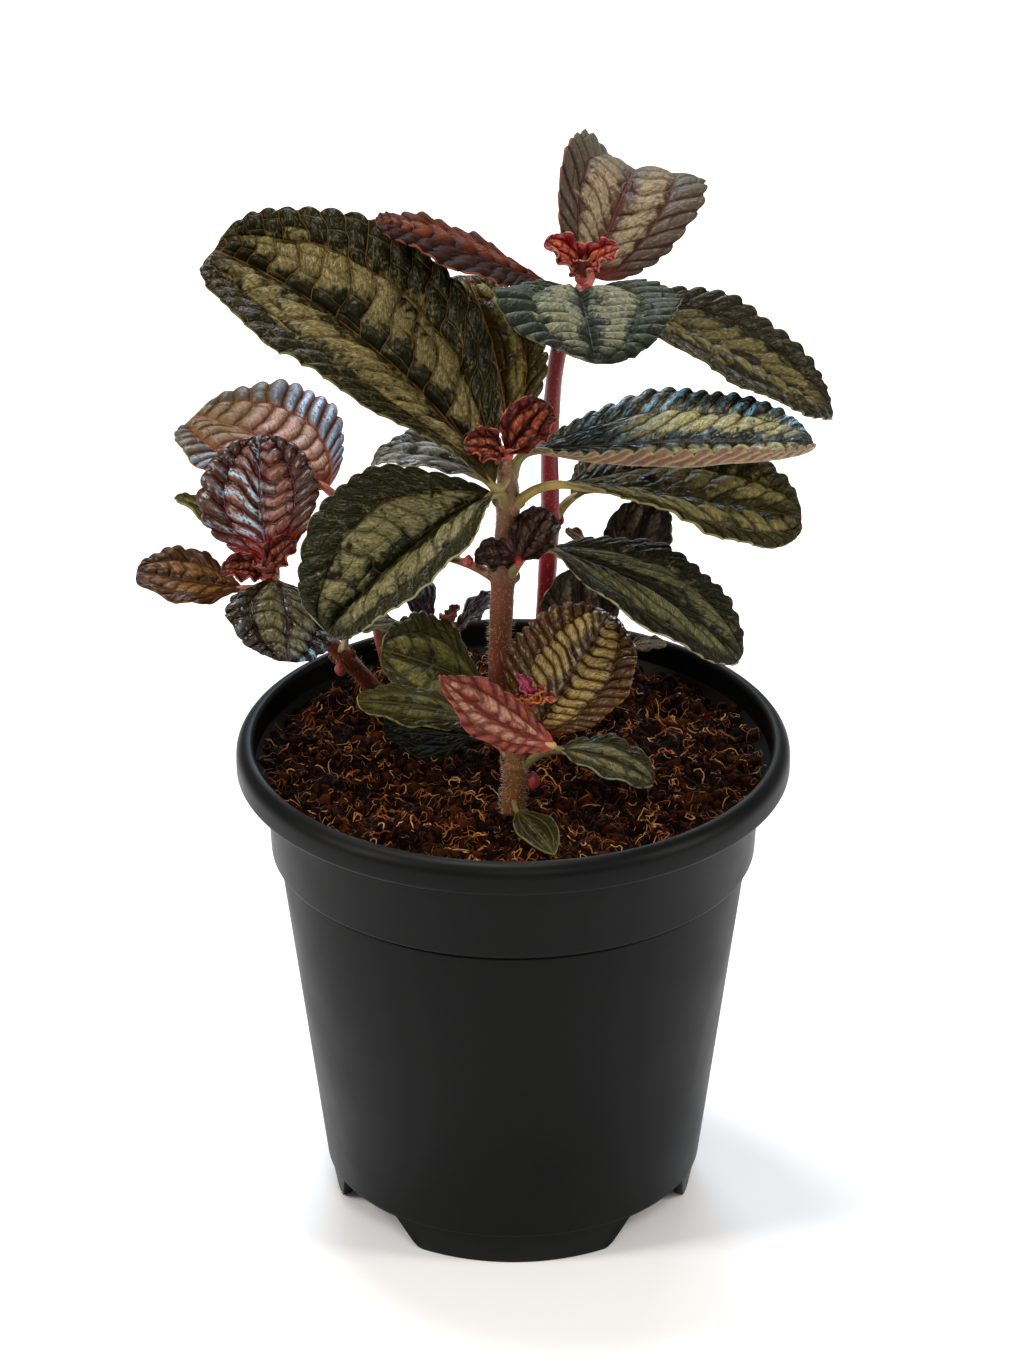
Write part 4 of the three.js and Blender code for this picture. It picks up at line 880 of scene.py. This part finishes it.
leafShapes = {
    "main_upper_left": leafOf("main", 0.96, (-3.9, -7.9, 172.6), (145, 26), (83, 49), 21, "olive", roll=7,
        droop=32, sweep=-7, twist=-21, fold=(1, 44), innerShare=0.85, leanIn=1.6, leanOut=1.35, quilt=1.15,
        innerCells=2.6, outerCells=1.6, cellDepth=0.65, outerDepth=0.8),
    "main_upper_right": leafOf("main", 0.95, (3.3, -2, 178.1), (4, 0), (61, 34), 20, "nightGreen", roll=20,
        droop=19, sweep=-7, fold=(-6, -22), curl=(0, 116), innerShare=0.8, leanIn=1.8, quilt=0.95,
        innerCells=2.4),
    "main_lower_left": leafOf("main", 0.86, (-4.2, -5.4, 170), (212, -29), (47, 42), 15, "green", droop=24,
        sweep=2, fold=(16, 54), tipCurve=0.35, innerShare=0.8, quilt=0.8, leanIn=1.6, innerCells=2.2),
    "main_lower_right": leafOf("main", 0.86, (10.2, -5.6, 172.3), (11, -14), (54, 36), 17, "khaki", roll=10,
        droop=-1, sweep=5, twist=46, fold=(7, 13), innerShare=0.75, quilt=0.8, leanIn=1.7, innerCells=2.2),
    "main_back_up": leafOf("main", 0.97, (-1, 7.5, 176), (106, 36), (42, 25), 14, "amber", roll=14,
        droop=34, fold=(10, 6), quilt=0.7),
    "main_back_left": leafOf("main", 0.84, (-5.9, 5, 168.5), (171, 5), (25, 22), 10, "silverBlue", roll=4,
        droop=40, sweep=1, fold=(12, 13), quilt=0.7),
    "main_middle_right": leafOf("main", 0.64, (7.4, -2.6, 155.7), (-12, -28), (48, 28), 15, "darkGreen",
        roll=9, droop=29, sweep=4, fold=(10, 6), tipCurve=0.43, leanIn=3.0, leanOut=2.4, quilt=0.9),
    "main_middle_left": leafOf("main", 0.62, (-11, 9, 147), (176, -4), (30, 20), 11, "bronze", roll=-6,
        droop=50),
    "main_foot_left": leafOf("main", 0.24, (-6, -0.8, 120.9), (194, 28), (26, 27), 12, "mossGreen",
        roll=-17, droop=13, sweep=1, fold=(-11, 16), tipCurve=0.43, quilt=0.4),
    "main_foot_low": leafOf("main", 0.16, (-8.4, 3.2, 107.2), (182, 11), (20, 19), 9, "blackGreen",
        roll=-12, droop=-6, sweep=1, fold=(0, 6), stalk=0.8, quilt=0.25),
    "main_foot_small": leafOf("main", 0.19, (-4, -6.4, 115.4), (206, 60), (8, 8), 6, "mossGreen", droop=10,
        stalk=0.6, quilt=0.2),
    "back_left": leafOf("back", 0.93, (7.6, 26.3, 204.2), (190, 25), (41, 27), 13, "rust", droop=3, sweep=2,
        fold=(-1, 0), tipCurve=0.43, quilt=0.8, leanOut=0.8, innerShare=1.0, cellDepth=0.0, innerCells=1.0,
        notch=2.4, sideDip=0.2),
    "back_right": leafOf("back", 0.93, (20.3, 24.4, 201.9), (0, -30), (56, 34), 18, "oliveBrown", roll=4,
        droop=11, sweep=4, twist=-3, fold=(16, 7), tipCurve=0.51, quilt=0.75, innerShare=0.8, leanIn=1.9),
    "back_front": leafOf("back", 0.98, (14, 15, 207.5), (-86, 4), (44, 41), 15, "silverGreen", droop=26,
        sweep=-4, fold=(8, 12), baseCurve=0.6, innerShare=1.0, leanIn=0.5, leanOut=0.4, quilt=1.4,
        stray=0.15, notch=2.4, innerCells=1.0, outerCells=0.5, cellDepth=0.0, sideDip=0.3, wave=1.0,
        waves=2),
    "back_middle": leafOf("back", 0.45, (12.5, 36, 149), (36, 6), (32, 22), 12, "olive", droop=30),
    "back_up": leafOf("back", 0.98, (16.8, 25.5, 206.4), (73, 16), (43, 34), 14, "mauve", roll=11,
        droop=131, sweep=-14, twist=-12, fold=(-3, 9), curl=(55, -16), baseCurve=0.43, tipCurve=0.43,
        innerShare=1.0, leanIn=1.4, leanOut=1.3, stray=0.4, innerCells=1.2, cellDepth=0.12),
    "left_up": leafOf("left", 0.97, (-51.1, 4.4, 147.2), (100, 57), (30, 28), 11, "wine", roll=-27,
        droop=48, sweep=9, fold=(8, 4), tipCurve=0.52, innerShare=1.0, leanIn=1.1, leanOut=1.0, quilt=0.8,
        stray=0.25, innerCells=1.0, cellDepth=0.15, outerCells=0.5),
    "left_out": leafOf("left", 0.95, (-58, 1.5, 144.1), (180, 9), (23, 20), 10, "bronze", roll=-6, droop=-3,
        sweep=7, fold=(3, 14), tipCurve=0.41, innerShare=0.9, quilt=0.55, outerCells=0.7),
    "left_front": leafOf("left", 0.94, (-51.1, -1.5, 148), (-80, -32), (22, 27), 11, "bronzeBlue", roll=-11,
        droop=59, sweep=5, fold=(-18, -2), tipCurve=0.47, innerShare=0.9, leanIn=0.5, leanOut=0.9,
        quilt=0.9, stray=0.3, outerCells=0.7, cellDepth=0.15),
    "left_back": leafOf("left", 0.95, (-56, 12, 147), (162, 32), (21, 10), 9, "mossGreen", droop=10,
        fold=(24, 24), stalk=0.8, quilt=0.4),
    "left_low": leafOf("left", 0.5, (-35.5, 21, 124), (26, -4), (12, 9), 6, "darkGreen", droop=20,
        stalk=0.7, quilt=0.3),
    "back_left_out": leafOf("backLeft", 0.97, (-40.4, 29.3, 154.7), (149, 14), (36, 44), 15, "copper",
        roll=16, droop=31, fold=(-13, 23), baseCurve=0.6, tipCurve=0.39, innerShare=0.8, leanIn=0.8,
        leanOut=1.0, quilt=0.8, stray=0.5, innerCells=1.4, outerCells=0.7, cellDepth=0.25),
    "inner_left": leafOf("inner", 0.95, (-17.6, 12, 131), (150, 45), (14, 12), 7, "blackBlue", droop=20,
        stalk=0.8, innerShare=1.0),
    "inner_right": leafOf("inner", 0.95, (-12.4, 9, 130), (10, 40), (12, 10), 7, "blackBlue", droop=10,
        stalk=0.8, innerShare=1.0),
    "front_up": leafOf("front", 0.95, (4.6, -17, 118.2), (44, 43), (31, 32), 15, "gold", roll=7, droop=-6,
        sweep=7, fold=(6, 3), baseCurve=0.51, tipCurve=0.45, innerShare=1.0, leanIn=1.3, leanOut=1.4,
        quilt=1.25, stray=0.35, innerCells=1.0, cellDepth=0.15, outerCells=0.7),
    "front_left": leafOf("front", 0.9, (8.5, -24.7, 119.6), (188, 37), (31, 14), 11, "rose", roll=-31,
        droop=-28, sweep=14, fold=(-4, 21), baseCurve=0.5, tipCurve=0.95, innerShare=0.9, leanIn=0.7,
        quilt=0.9, leanOut=0.7, innerCells=1.0, cellDepth=0.2),
    "front_right": leafOf("front", 0.66, (9.4, -23.1, 118), (-10, -17), (22, 14), 10, "green", roll=7,
        droop=32, fold=(15, 6), quilt=0.45),
    "front_far_left": leafOf("front", 0.66, (-6.8, -14.9, 120.3), (197, 18), (29, 12), 11, "mossGreen",
        roll=-8, droop=15, sweep=-4, fold=(-16, 13), quilt=0.45),
    "front_on_soil": leafOf("front", 0.4, (0.9, -29, 106), (-67, -2), (20, 9), 6, "plainGreen", roll=3,
        droop=18, sweep=-2, fold=(19, 10), stalk=0.6, quilt=0.2, tipCurve=0.75, notch=0.25, wave=0.2),
    "behind_middle": leafOf("backRight", 0.5, (14.5, 28, 115.5), (92, 80), (19, 18), 8, "greyBrown",
        droop=10, stalk=0.8, quilt=0.4),
    "behind_right": leafOf("backRight", 0.96, (25.5, 33, 131), (60, 52), (18, 17), 8, "greyBrown", droop=20,
        stalk=0.8, quilt=0.4),
    "behind_left": leafOf("backRight", 0.96, (20, 31, 134.5), (190, 48), (13, 10), 7, "bronze", droop=10,
        stalk=0.8, quilt=0.4),
    "behind_low": leafOf("backRight", 0.42, (24, 40, 109.6), (4, 8), (10, 7), 5, "olive", droop=20,
        stalk=0.6, quilt=0.3),
}
leafSlots = {
    "olive": ("olive", "mossGreen", "amber", "oliveBrown", "blackGreen"),
    "bronze": ("bronze", "wine", "bronzeBlue", "copper", "gold"),
    "pink": ("rust", "mauve", "rose"),
}


# The stalk runs from inside its stem to under the blade's base, and ends as a keel below the midrib
def addStalk(leaf):
    spots, forwards, faces, _ = midrib(leaf)
    base, radius, stem = spots[0], leaf.stalk, stems[leaf.stem]
    line, _ = smoothLine(stem.points, 200)
    at = int(leaf.at * 199)
    ahead = line[min(at + 1, 199)] - line[at - 1]
    ahead /= np.linalg.norm(ahead)
    out = base - line[at]
    out = out - ahead * out.dot(ahead)
    out /= np.linalg.norm(out)
    start = line[at] + out * (max(stem.radii) * 0.45)
    before = base - forwards[0] * np.linalg.norm(start - base) * 0.35
    keel = [spots[int(96 * share)] - faces[int(96 * share)] * radius * 0.55 for share in (0.12, 0.3)]
    points = [start, (start + base) / 2 * 0.6 + before * 0.4, base - faces[0] * radius * 0.2, *keel]
    track, places = smoothLine(points, 34)
    taper = np.array((1.35, 1.12, 0.95, 0.85, 0.5, 0.12)) * radius
    return addTube(track, np.interp(places, (0, 0.08, 0.25, 0.5, 0.75, 1), taper), 12,
                   leafStalkSkin(leaf.finish))


def makeLeaf(name, index):
    leaf = leafShapes[name]
    leaf.seed = 1.7 * index + 0.4
    whole = join("quilted_leaf_" + name, addBlade(leaf), addStalk(leaf))
    slots = [slot for slot, finishNames in leafSlots.items() if leaf.finish in finishNames]
    settle(whole, "pink" if name == "behind_right" else slots[0] if slots else "dark_green", "leaf_" + name)


# Hearts: the crumpled young leaves of each shoot round a small bud, each leaf with its heading, rise,
# length, width and roll
hearts = {
    "main": dict(base=(-1.4, -4.2, 178.4), bud=1.5, finish="red",
                 leaves=((196, 18, 10, 9.5, -35), (34, 42, 14, 12.5, 38), (290, 34, 5, 4.5, 0))),
    "axil": dict(base=(1, -2.8, 152.8), bud=1.3, finish="plum",
                 leaves=((190, 8, 9.5, 9, -35), (34, 48, 12.5, 12, 40))),
    "back": dict(base=(14.6, 18.6, 209.2), bud=1.5, finish="crimson",
                 leaves=((186, 48, 12, 10, -30), (-12, 42, 11, 9.5, 24), (270, 60, 6, 5, 0))),
    "left": dict(base=(-53, -1.2, 148.6), bud=1.4, finish="red",
                 leaves=((196, 14, 10, 8, -30), (14, 48, 10, 8, 30), (262, 40, 6, 5.5, 0))),
    "front": dict(base=(3.6, -17.4, 125.6), bud=1.3, finish="ember", first="magenta",
                  leaves=((150, 64, 7, 5, 0), (350, 16, 6, 5, 0), (290, 30, 5, 4, 0), (250, 40, 4.5, 3.5, 0),
                          (320, 55, 4.5, 3.5, 0), (20, 45, 5, 3.6, 0), (200, 25, 4.5, 3.4, 0))),
    "inner": dict(base=(-14.2, 9.6, 131.2), bud=1.1, finish="red",
                  leaves=((270, 50, 5, 4, 0), (40, 50, 5, 3.6, 0))),
}
youngForm = dict(droop=20, fold=(24, 24), wave=1.1, innerShare=1.0, leanIn=0.7, leanOut=0.8,
                 quilt=1.2, thick=0.4, columns=24)


def addBud(centre, radius, finish, tall=1.4):
    bpy.ops.mesh.primitive_uv_sphere_add(segments=24, ring_count=16, radius=1)
    bud = bpy.context.object
    places = placesOf(bud.data)
    angle = np.arctan2(places[:, 1], places[:, 0])
    pinch = 1 - 0.35 * smooth(places[:, 2], 0.1, 1.0)
    scales = 1 + 0.07 * np.abs(np.sin(1.5 * angle + 2.2 * places[:, 2]))
    full = np.ones(len(places))
    setPlaces(bud.data, places * np.stack([pinch * scales, pinch * scales, full * tall], -1) * radius
              + np.array(centre))
    setFact(bud.data, "stalk", np.stack([(places[:, 2] + 1) / 2, angle, full * radius], -1))
    bud.data.materials.append(stalkSkin(finish + "BudSkin", "#a8483a", "#8c1c22"))
    return bud


def makeHeart(name, index):
    heart = hearts[name]
    base, finish = heart["base"], heart["finish"]
    pieces = [addBud(base, heart["bud"], finish, tall=1.0)]
    for number, (heading, rise, length, width, roll) in enumerate(heart["leaves"]):
        leaf = leafOf(name, 0, base, (heading, rise), (length, width), 8,
                      finish if number else heart.get("first", finish), roll=roll, **youngForm)
        leaf.seed = 3.1 * index + number + 0.2
        pieces.append(addBlade(leaf))
    settle(join("crinkled_young_leaves_" + name, *pieces), "dark_green" if finish == "plum" else "red",
           "young_leaves_" + name)


buds = {
    "left": ((-37.55, 13.6, 118.65), 1.2),
    "front": ((4.2, -21.5, 109.7), 1.5),
    "main": ((-9.6, 5.6, 148.6), 1.1),
}

# Pot, as radii and heights
pot = SimpleNamespace(
    height=109, rim=60, mouth=56.3, lipBottom=102.2, collarBottom=83.2, collar=53.6, collarStep=1.85,
    lipRound=3.1, lipEdge=0.85, mouthRound=1.2, bodyTop=50.85, bodyTopLevel=81.8, bodyFoot=41.17,
    footHeight=7.6, foot=39.3, footWidth=3.4, wall=1.2, facets=192, gapAngle=52.75, holeRadius=3,
    holesOut=20, slotsOut=34.5, slotSize=(7, 4, 8),
    black="#050506", flowMarks="#0a0b0b", rough=0.4)


# Black polypropylene, injection moulded. The eye gets a deep satin black with soft broad highlights, from
# flow marks about 12 mm wide and a grain too fine to see but for its satin
def potSurface(tree):
    flow = noiseIn(tree, 12, 3.0)
    return {"Base Color": layers(pot.black, (flow, pot.flowMarks)),
            "Roughness": step(flow, 0.3, 0.7, pot.rough, pot.rough + 0.08, "LINEAR"),
            "Normal": bump(noiseIn(tree, 0.5), 0.12, 0.05), "IOR": 1.49, "Specular IOR Level": 0.1}


# A profile of radius and height is spun into a full turn
def spinProfile(name, profile, closed=False):
    edges = [(at, at + 1) for at in range(len(profile) - 1)]
    if closed:
        edges.append((len(profile) - 1, 0))
    piece = meshPiece(name, [(radius, 0, height) for radius, height in profile], edges=edges)
    with editing(piece):
        bpy.ops.mesh.spin(steps=pot.facets, angle=fullTurn, center=tuple(potAxis), axis=(0, 0, 1))
        bpy.ops.mesh.select_all(action="SELECT")
        bpy.ops.mesh.remove_doubles(threshold=0.00002)
        bpy.ops.mesh.normals_make_consistent(inside=False)
    return piece


def arc(centre, radius, start, end, count):
    turns = np.radians(np.linspace(start, end, count))
    return [(centre[0] + radius * math.cos(turn), centre[1] + radius * math.sin(turn)) for turn in turns]


def cut(piece, tool, operation="DIFFERENCE"):
    choose(piece)
    change = piece.modifiers.new("cut", "BOOLEAN")
    change.operation = operation
    change.solver = "EXACT"
    change.object = tool
    bpy.ops.object.modifier_apply(modifier=change.name)
    bpy.data.objects.remove(tool)


# The gap between two feet, as a block through the ring of feet
def gapTool(turn):
    outline = [(-14.8, -1), (-14.6, 0), (-13, 1.6), (-9.8, 7.0), (-9, 7.55)]
    outline += [(-x, z) for x, z in reversed(outline)]
    count, angle = len(outline), math.radians(turn)
    spots = [(x * math.cos(angle) + depth * math.sin(angle), x * math.sin(angle) - depth * math.cos(angle), z)
             for depth in (28, 48) for x, z in outline]
    faces = [tuple(range(count)), tuple(range(2 * count - 1, count - 1, -1))]
    faces += [(at, (at + 1) % count, (at + 1) % count + count, at + count) for at in range(count)]
    tool = meshPiece("gap", spots, faces)
    with editing(tool):
        bpy.ops.mesh.normals_make_consistent(inside=False)
    return tool


def makePot():
    lip, foot, floor, wall = pot.lipBottom, pot.foot, pot.footHeight, pot.wall
    wallFoot, wallTop, collarFoot = pot.bodyFoot, pot.bodyTop, pot.bodyTop + pot.collarStep
    body = spinProfile("moulded_pot", [
        (0, floor - 0.8), (wallFoot - 1, floor - 0.8), (wallFoot - 0.5, floor - 0.3),
        *arc((wallFoot - 0.5, floor + 0.5), 0.5, -80, -5, 4),
        *arc((wallTop - 0.45, pot.bodyTopLevel), 0.45, 0, 60, 4),
        *arc((collarFoot - 0.75, pot.collarBottom + 0.7), 0.7, -75, 0, 5),
        (pot.collar, lip - 2.0), (pot.collar + 0.25, lip - 0.6), (pot.collar + 1.1, lip),
        (pot.rim - 1.4, lip), *arc((pot.rim - pot.lipEdge, lip + pot.lipEdge), pot.lipEdge, -80, 0, 5),
        *arc((pot.rim - pot.lipRound, pot.height - pot.lipRound), pot.lipRound, 0, 90, 10),
        *arc((pot.mouth + 1.0, pot.height - pot.mouthRound), pot.mouthRound, 100, 180, 6),
        (pot.mouth - 0.4, lip + 1.2), (pot.collar - wall, lip - 1.4),
        (collarFoot - wall, pot.collarBottom + 0.8), (wallTop - wall, pot.bodyTopLevel + 0.2),
        (wallFoot - wall + 0.2, floor + 1.6), (0, floor + 1.6),
    ])
    inner = foot - pot.footWidth
    ring = spinProfile("feet", [
        (inner, 0), (foot - 0.4, 0), (foot, 0.5), (foot + 1.45, floor + 0.1), (foot + 1.3, floor + 0.6),
        (inner, floor + 0.6)], closed=True)
    for turn in (pot.gapAngle, 180 - pot.gapAngle, 180 + pot.gapAngle, -pot.gapAngle):
        cut(ring, gapTool(turn))
    cut(body, ring, "UNION")
    for turn in np.radians((0, 90, 180, 270)):
        place = toFrame((pot.holesOut * math.cos(turn), pot.holesOut * math.sin(turn), 8))
        bpy.ops.mesh.primitive_cylinder_add(vertices=32, radius=pot.holeRadius * mm, depth=8 * mm,
                                            location=place)
        cut(body, bpy.context.object)
    for turn in (90 - pot.gapAngle, 90 + pot.gapAngle, 270 - pot.gapAngle, 270 + pot.gapAngle):
        angle = math.radians(turn)
        place = toFrame((pot.slotsOut * math.cos(angle), pot.slotsOut * math.sin(angle), 8))
        bpy.ops.mesh.primitive_cube_add(size=1, location=place, rotation=(0, 0, angle),
                                        scale=[side * mm for side in pot.slotSize])
        cut(body, bpy.context.object)
    body.data.materials.clear()
    body.data.materials.append(makeMaterial("mouldedBlackPolypropylene", potSurface))
    with editing(body):
        bpy.ops.mesh.remove_doubles(threshold=0.00001)
    bpy.ops.object.shade_smooth_by_angle(angle=math.radians(32))
    settle(body, "pot", "pot")


# Soil: damp peat. The eye gets black hollows, their black partly painted shade, brown crumbs and a mat of
# curled orange-brown fibres
soil = {
    "level": 103, "edge": 55.6, "cells": 205, "dark": "#050100", "mid": "#421c06", "warm": "#6a340e",
    # radii and heights inside the pot, down to its floor
    "inside": ((51.6, 100.0), (50.9, 85.0), (48.9, 81.0), (39.6, 9.7)),
    # place, spread and rise of the larger lumps
    "clods": ((-38, 26, 6, 3.2), (-28, 38, 5, 2.6), (-44, 10, 5, 1.8), (22, 44, 6, 2.2), (36, 30, 5, 1.6),
              (-6, 46, 6, 2.4)),
}
fibreForm = {"count": 3200, "out": 54.2, "edge": 55.0, "rings": 9, "sides": 3, "length": (2.0, 7.0),
             "bend": (-6.5, 6.5), "wriggle": (0.2, 1.2), "waves": (5, 12), "climb": (-0.5, 0.9),
             "lift": (-0.1, 0.5), "thin": 0.04, "thicker": 0.15, "dark": "#160701", "colour": "#a25818",
             "light": "#dca258"}
crumbForm = {"count": 1200, "out": 51.8, "size": (0.35, 1.0)}


def soilHeight(x, y):
    height = soil["level"] + 0.7 * math.sin(0.21 * x + 0.4) * math.cos(0.17 * y - 0.8)
    height += 0.55 * math.sin(0.9 * x + 1.3 * math.sin(0.5 * y)) * math.sin(0.8 * y + 0.7)
    for clodX, clodY, spread, rise in soil["clods"]:
        height += rise * math.exp(-((x - clodX) ** 2 + (y - clodY) ** 2) / spread ** 2)
    return height


# Lumps of two sizes between dark hollows, on top of the bed's own shape
def soilRough(x, y):
    coarse = noise.fractal(Vector((x * 0.22, y * 0.22, 3.0)), 1.0, 2.1, 3)
    lump = 0.55 - noise.voronoi(Vector((x * 0.3, y * 0.3, 1.0)))[0][0]
    crumb = 0.5 - noise.voronoi(Vector((x * 0.8, y * 0.8, 5.0)))[0][0]
    fine = noise.noise(Vector((x * 1.7, y * 1.7, 7.0)))
    # near the rim it stays on the pot's sloping shoulder
    shoulder = 100.6 + 0.743 * (math.hypot(x, y) - 52.4)
    return max(soilHeight(x, y) + 1.2 * coarse + 2.0 * lump + 0.9 * crumb + 0.25 * fine - 1.2, shoulder)


def peatSurface(tree):
    rise = addNode(tree, "ShaderNodeAttribute", output="Fac", attribute_name="rise")
    crumb = noiseIn(tree, 1.3, 7.0)
    colour = layers(soil["dark"], (step(crumb, 0.42, 0.7), soil["mid"]),
                    (step(noiseIn(tree, 9), 0.45, 0.7, 0.0, 0.5, "LINEAR"), soil["warm"]),
                    # painted shade: the peat turns near black where it lies below the bed's own shape, in the
                    # hollows
                    (step(rise, 0.6, -1.0, 0.0, 0.92), soil["dark"]))
    return {"Base Color": colour, "Roughness": 0.9, "Normal": bump(crumb, 1.0, 0.8),
            "Specular IOR Level": 0.06}


# Coconut and peat fibre: each has its own tone, from near black to straw
def fibreSurface(tree):
    tone = addNode(tree, "ShaderNodeAttribute", output="Fac", attribute_name="tone")
    uneven = noiseIn(tree, 1.5, 3.0) * 0.5 + tone
    colour = layers(fibreForm["dark"], (step(uneven, 0.25, 0.8), fibreForm["colour"]),
                    (step(uneven, 0.8, 1.25), fibreForm["light"]))
    return {"Base Color": colour, "Roughness": 0.55, "Specular IOR Level": 0.2}


@cache
def peatSkin():
    return makeMaterial("dampPeat", peatSurface)


def makeSoil():
    bpy.ops.mesh.primitive_grid_add(x_subdivisions=soil["cells"], y_subdivisions=soil["cells"], size=2)
    peat = bpy.context.object
    mesh = peat.data
    x, y, _ = placesOf(mesh).T
    discX, discY = x * np.sqrt(1 - y * y / 2) * soil["edge"], y * np.sqrt(1 - x * x / 2) * soil["edge"]
    heights = [soilRough(a, b) for a, b in zip(discX, discY)]
    setPlaces(mesh, np.stack([discX, discY, heights], -1))
    # how far each point stands above the bed's own shape, for the painted shade in the hollows
    setFact(mesh, "rise", [height - soilHeight(a, b) for a, b, height in zip(discX, discY, heights)])
    # the rim of the sheet is drawn down inside the pot's wall and closed below
    with editing(peat):
        shape = bmesh.from_edit_mesh(mesh)
        border = [edge for edge in shape.edges if edge.is_boundary]
        for radius, height in soil["inside"]:
            made = bmesh.ops.extrude_edge_only(shape, edges=border)["geom"]
            border = [part for part in made if isinstance(part, bmesh.types.BMEdge)]
            for vertex in [part for part in made if isinstance(part, bmesh.types.BMVert)]:
                away = np.array(vertex.co) - potAxis
                turn = math.atan2(away[1], away[0])
                vertex.co = Vector(toFrame((radius * math.cos(turn), radius * math.sin(turn), height)))
        bmesh.ops.contextual_create(shape, geom=border)
        bmesh.update_edit_mesh(mesh)
        bpy.ops.mesh.select_all(action="SELECT")
        bpy.ops.mesh.normals_make_consistent(inside=False)
    mesh.materials.append(peatSkin())
    settle(join("peat_soil", peat), "soil", "soil")


# One drawn place on the soil, out to a radius
def drawPlace(draw, out):
    far = out * math.sqrt(draw.random())
    turn = draw.random() * 2 * math.pi
    return far * math.cos(turn), far * math.sin(turn)


def drawFibre(draw, share):
    x, y = drawPlace(draw, fibreForm["out"])
    length = draw.uniform(*fibreForm["length"]) * (1.5 if draw.random() < 0.15 else 1)
    bend = draw.uniform(*fibreForm["bend"])
    heading = draw.random() * 2 * math.pi
    wriggle, waves = draw.uniform(*fibreForm["wriggle"]), draw.uniform(*fibreForm["waves"])
    angles = heading + bend * (share - 0.5) + wriggle * np.sin(waves * share + bend)
    climb = draw.uniform(*fibreForm["climb"])
    line = np.zeros((len(share), 3))
    line[1:, 0] = np.cumsum(np.cos(angles[:-1])) * (length / (len(share) - 1))
    line[1:, 1] = np.cumsum(np.sin(angles[:-1])) * (length / (len(share) - 1))
    line[:, 2] = climb * np.sin(np.pi * share) * length * 0.35
    line -= line.mean(axis=0)
    line[:, :2] += (x, y)
    reach = np.hypot(line[:, 0], line[:, 1])
    line[:, :2] *= np.minimum(1, fibreForm["edge"] / np.maximum(reach, 1e-6))[:, None]
    line[:, 2] += [soilRough(a, b) for a, b in line[:, :2]]
    line[:, 2] += draw.uniform(*fibreForm["lift"])
    return line


# Fibres: each is a thin curled tube, lying where it was drawn
def makeFibres(draw):
    rings, sides = fibreForm["rings"], fibreForm["sides"]
    share = np.linspace(0, 1, rings)
    ringFaces = [(ring * sides + side, ring * sides + (side + 1) % sides,
                  (ring + 1) * sides + (side + 1) % sides, (ring + 1) * sides + side)
                 for ring in range(rings - 1) for side in range(sides)]
    ringFaces.append(tuple(range(sides - 1, -1, -1)))
    ringFaces.append(tuple((rings - 1) * sides + side for side in range(sides)))
    spots, faces, tones = [], [], []
    for index in range(fibreForm["count"]):
        line = drawFibre(draw, share)
        _, across, above = turnedAxes(line)
        radius = fibreForm["thin"] + fibreForm["thicker"] * draw.random() ** 2.2
        radius = radius * np.interp(share, (0, 0.2, 0.8, 1), (0.4, 1, 1, 0.3))
        tones += [draw.random() ** 1.9] * (rings * sides)
        around = [line + (across * math.cos(spin) + above * math.sin(spin)) * radius[:, None]
                  for spin in (side * 2 * math.pi / sides for side in range(sides))]
        spots.append(np.stack(around, 1).reshape(-1, 3))
        faces += [tuple(index * rings * sides + corner for corner in face) for face in ringFaces]
    fibres = meshPiece("peat_fibres", np.concatenate(spots), faces)
    setFact(fibres.data, "tone", tones)
    fibres.data.materials.append(makeMaterial("coirFibre", fibreSurface))
    settle(join("peat_fibres", fibres), "soil")


# Crumbs: a small ball each, turned lumpy and stretched
def makeCrumbs(draw):
    bpy.ops.mesh.primitive_ico_sphere_add(subdivisions=2, radius=1)
    ball = bpy.context.object
    shape = placesOf(ball.data)
    ballFaces = np.array([face.vertices[:] for face in ball.data.polygons])
    bpy.data.objects.remove(ball)
    spots, faces = [], []
    for index in range(crumbForm["count"]):
        x, y = drawPlace(draw, crumbForm["out"])
        size = draw.uniform(*crumbForm["size"]) * (1.5 if draw.random() < 0.12 else 1)
        lump = 1 + 0.3 * np.sin(shape @ draw.uniform(-4, 4, 3) + draw.uniform(0, 6))
        stretch = draw.uniform(0.7, 1.3, 3)
        spots.append(shape * lump[:, None] * stretch * size + (x, y, soilRough(x, y) + size * 0.2))
        faces.append(ballFaces + index * len(shape))
    crumbs = meshPiece("peat_crumbs", np.concatenate(spots), np.concatenate(faces).tolist())
    crumbs.data.materials.append(peatSkin())
    settle(join("peat_crumbs", crumbs), "soil")


makeCamera()
makeStudio()
print("camera and studio made")
makePot()
print("pot made")
makeSoil()
litterDraw = np.random.default_rng(5)
makeFibres(litterDraw)
makeCrumbs(litterDraw)
print("soil made")
for stemName in stems:
    makeStem(stemName)
print("stems made")
for leafIndex, leafName in enumerate(leafShapes):
    makeLeaf(leafName, leafIndex)
print("leaves made")
for heartIndex, heartName in enumerate(hearts):
    makeHeart(heartName, heartIndex)
for budName, (budPlace, budRadius) in buds.items():
    settle(join("scaly_bud_" + budName, addBud(budPlace, budRadius, "red")), "red", "bud_" + budName)
print("hearts and buds made")
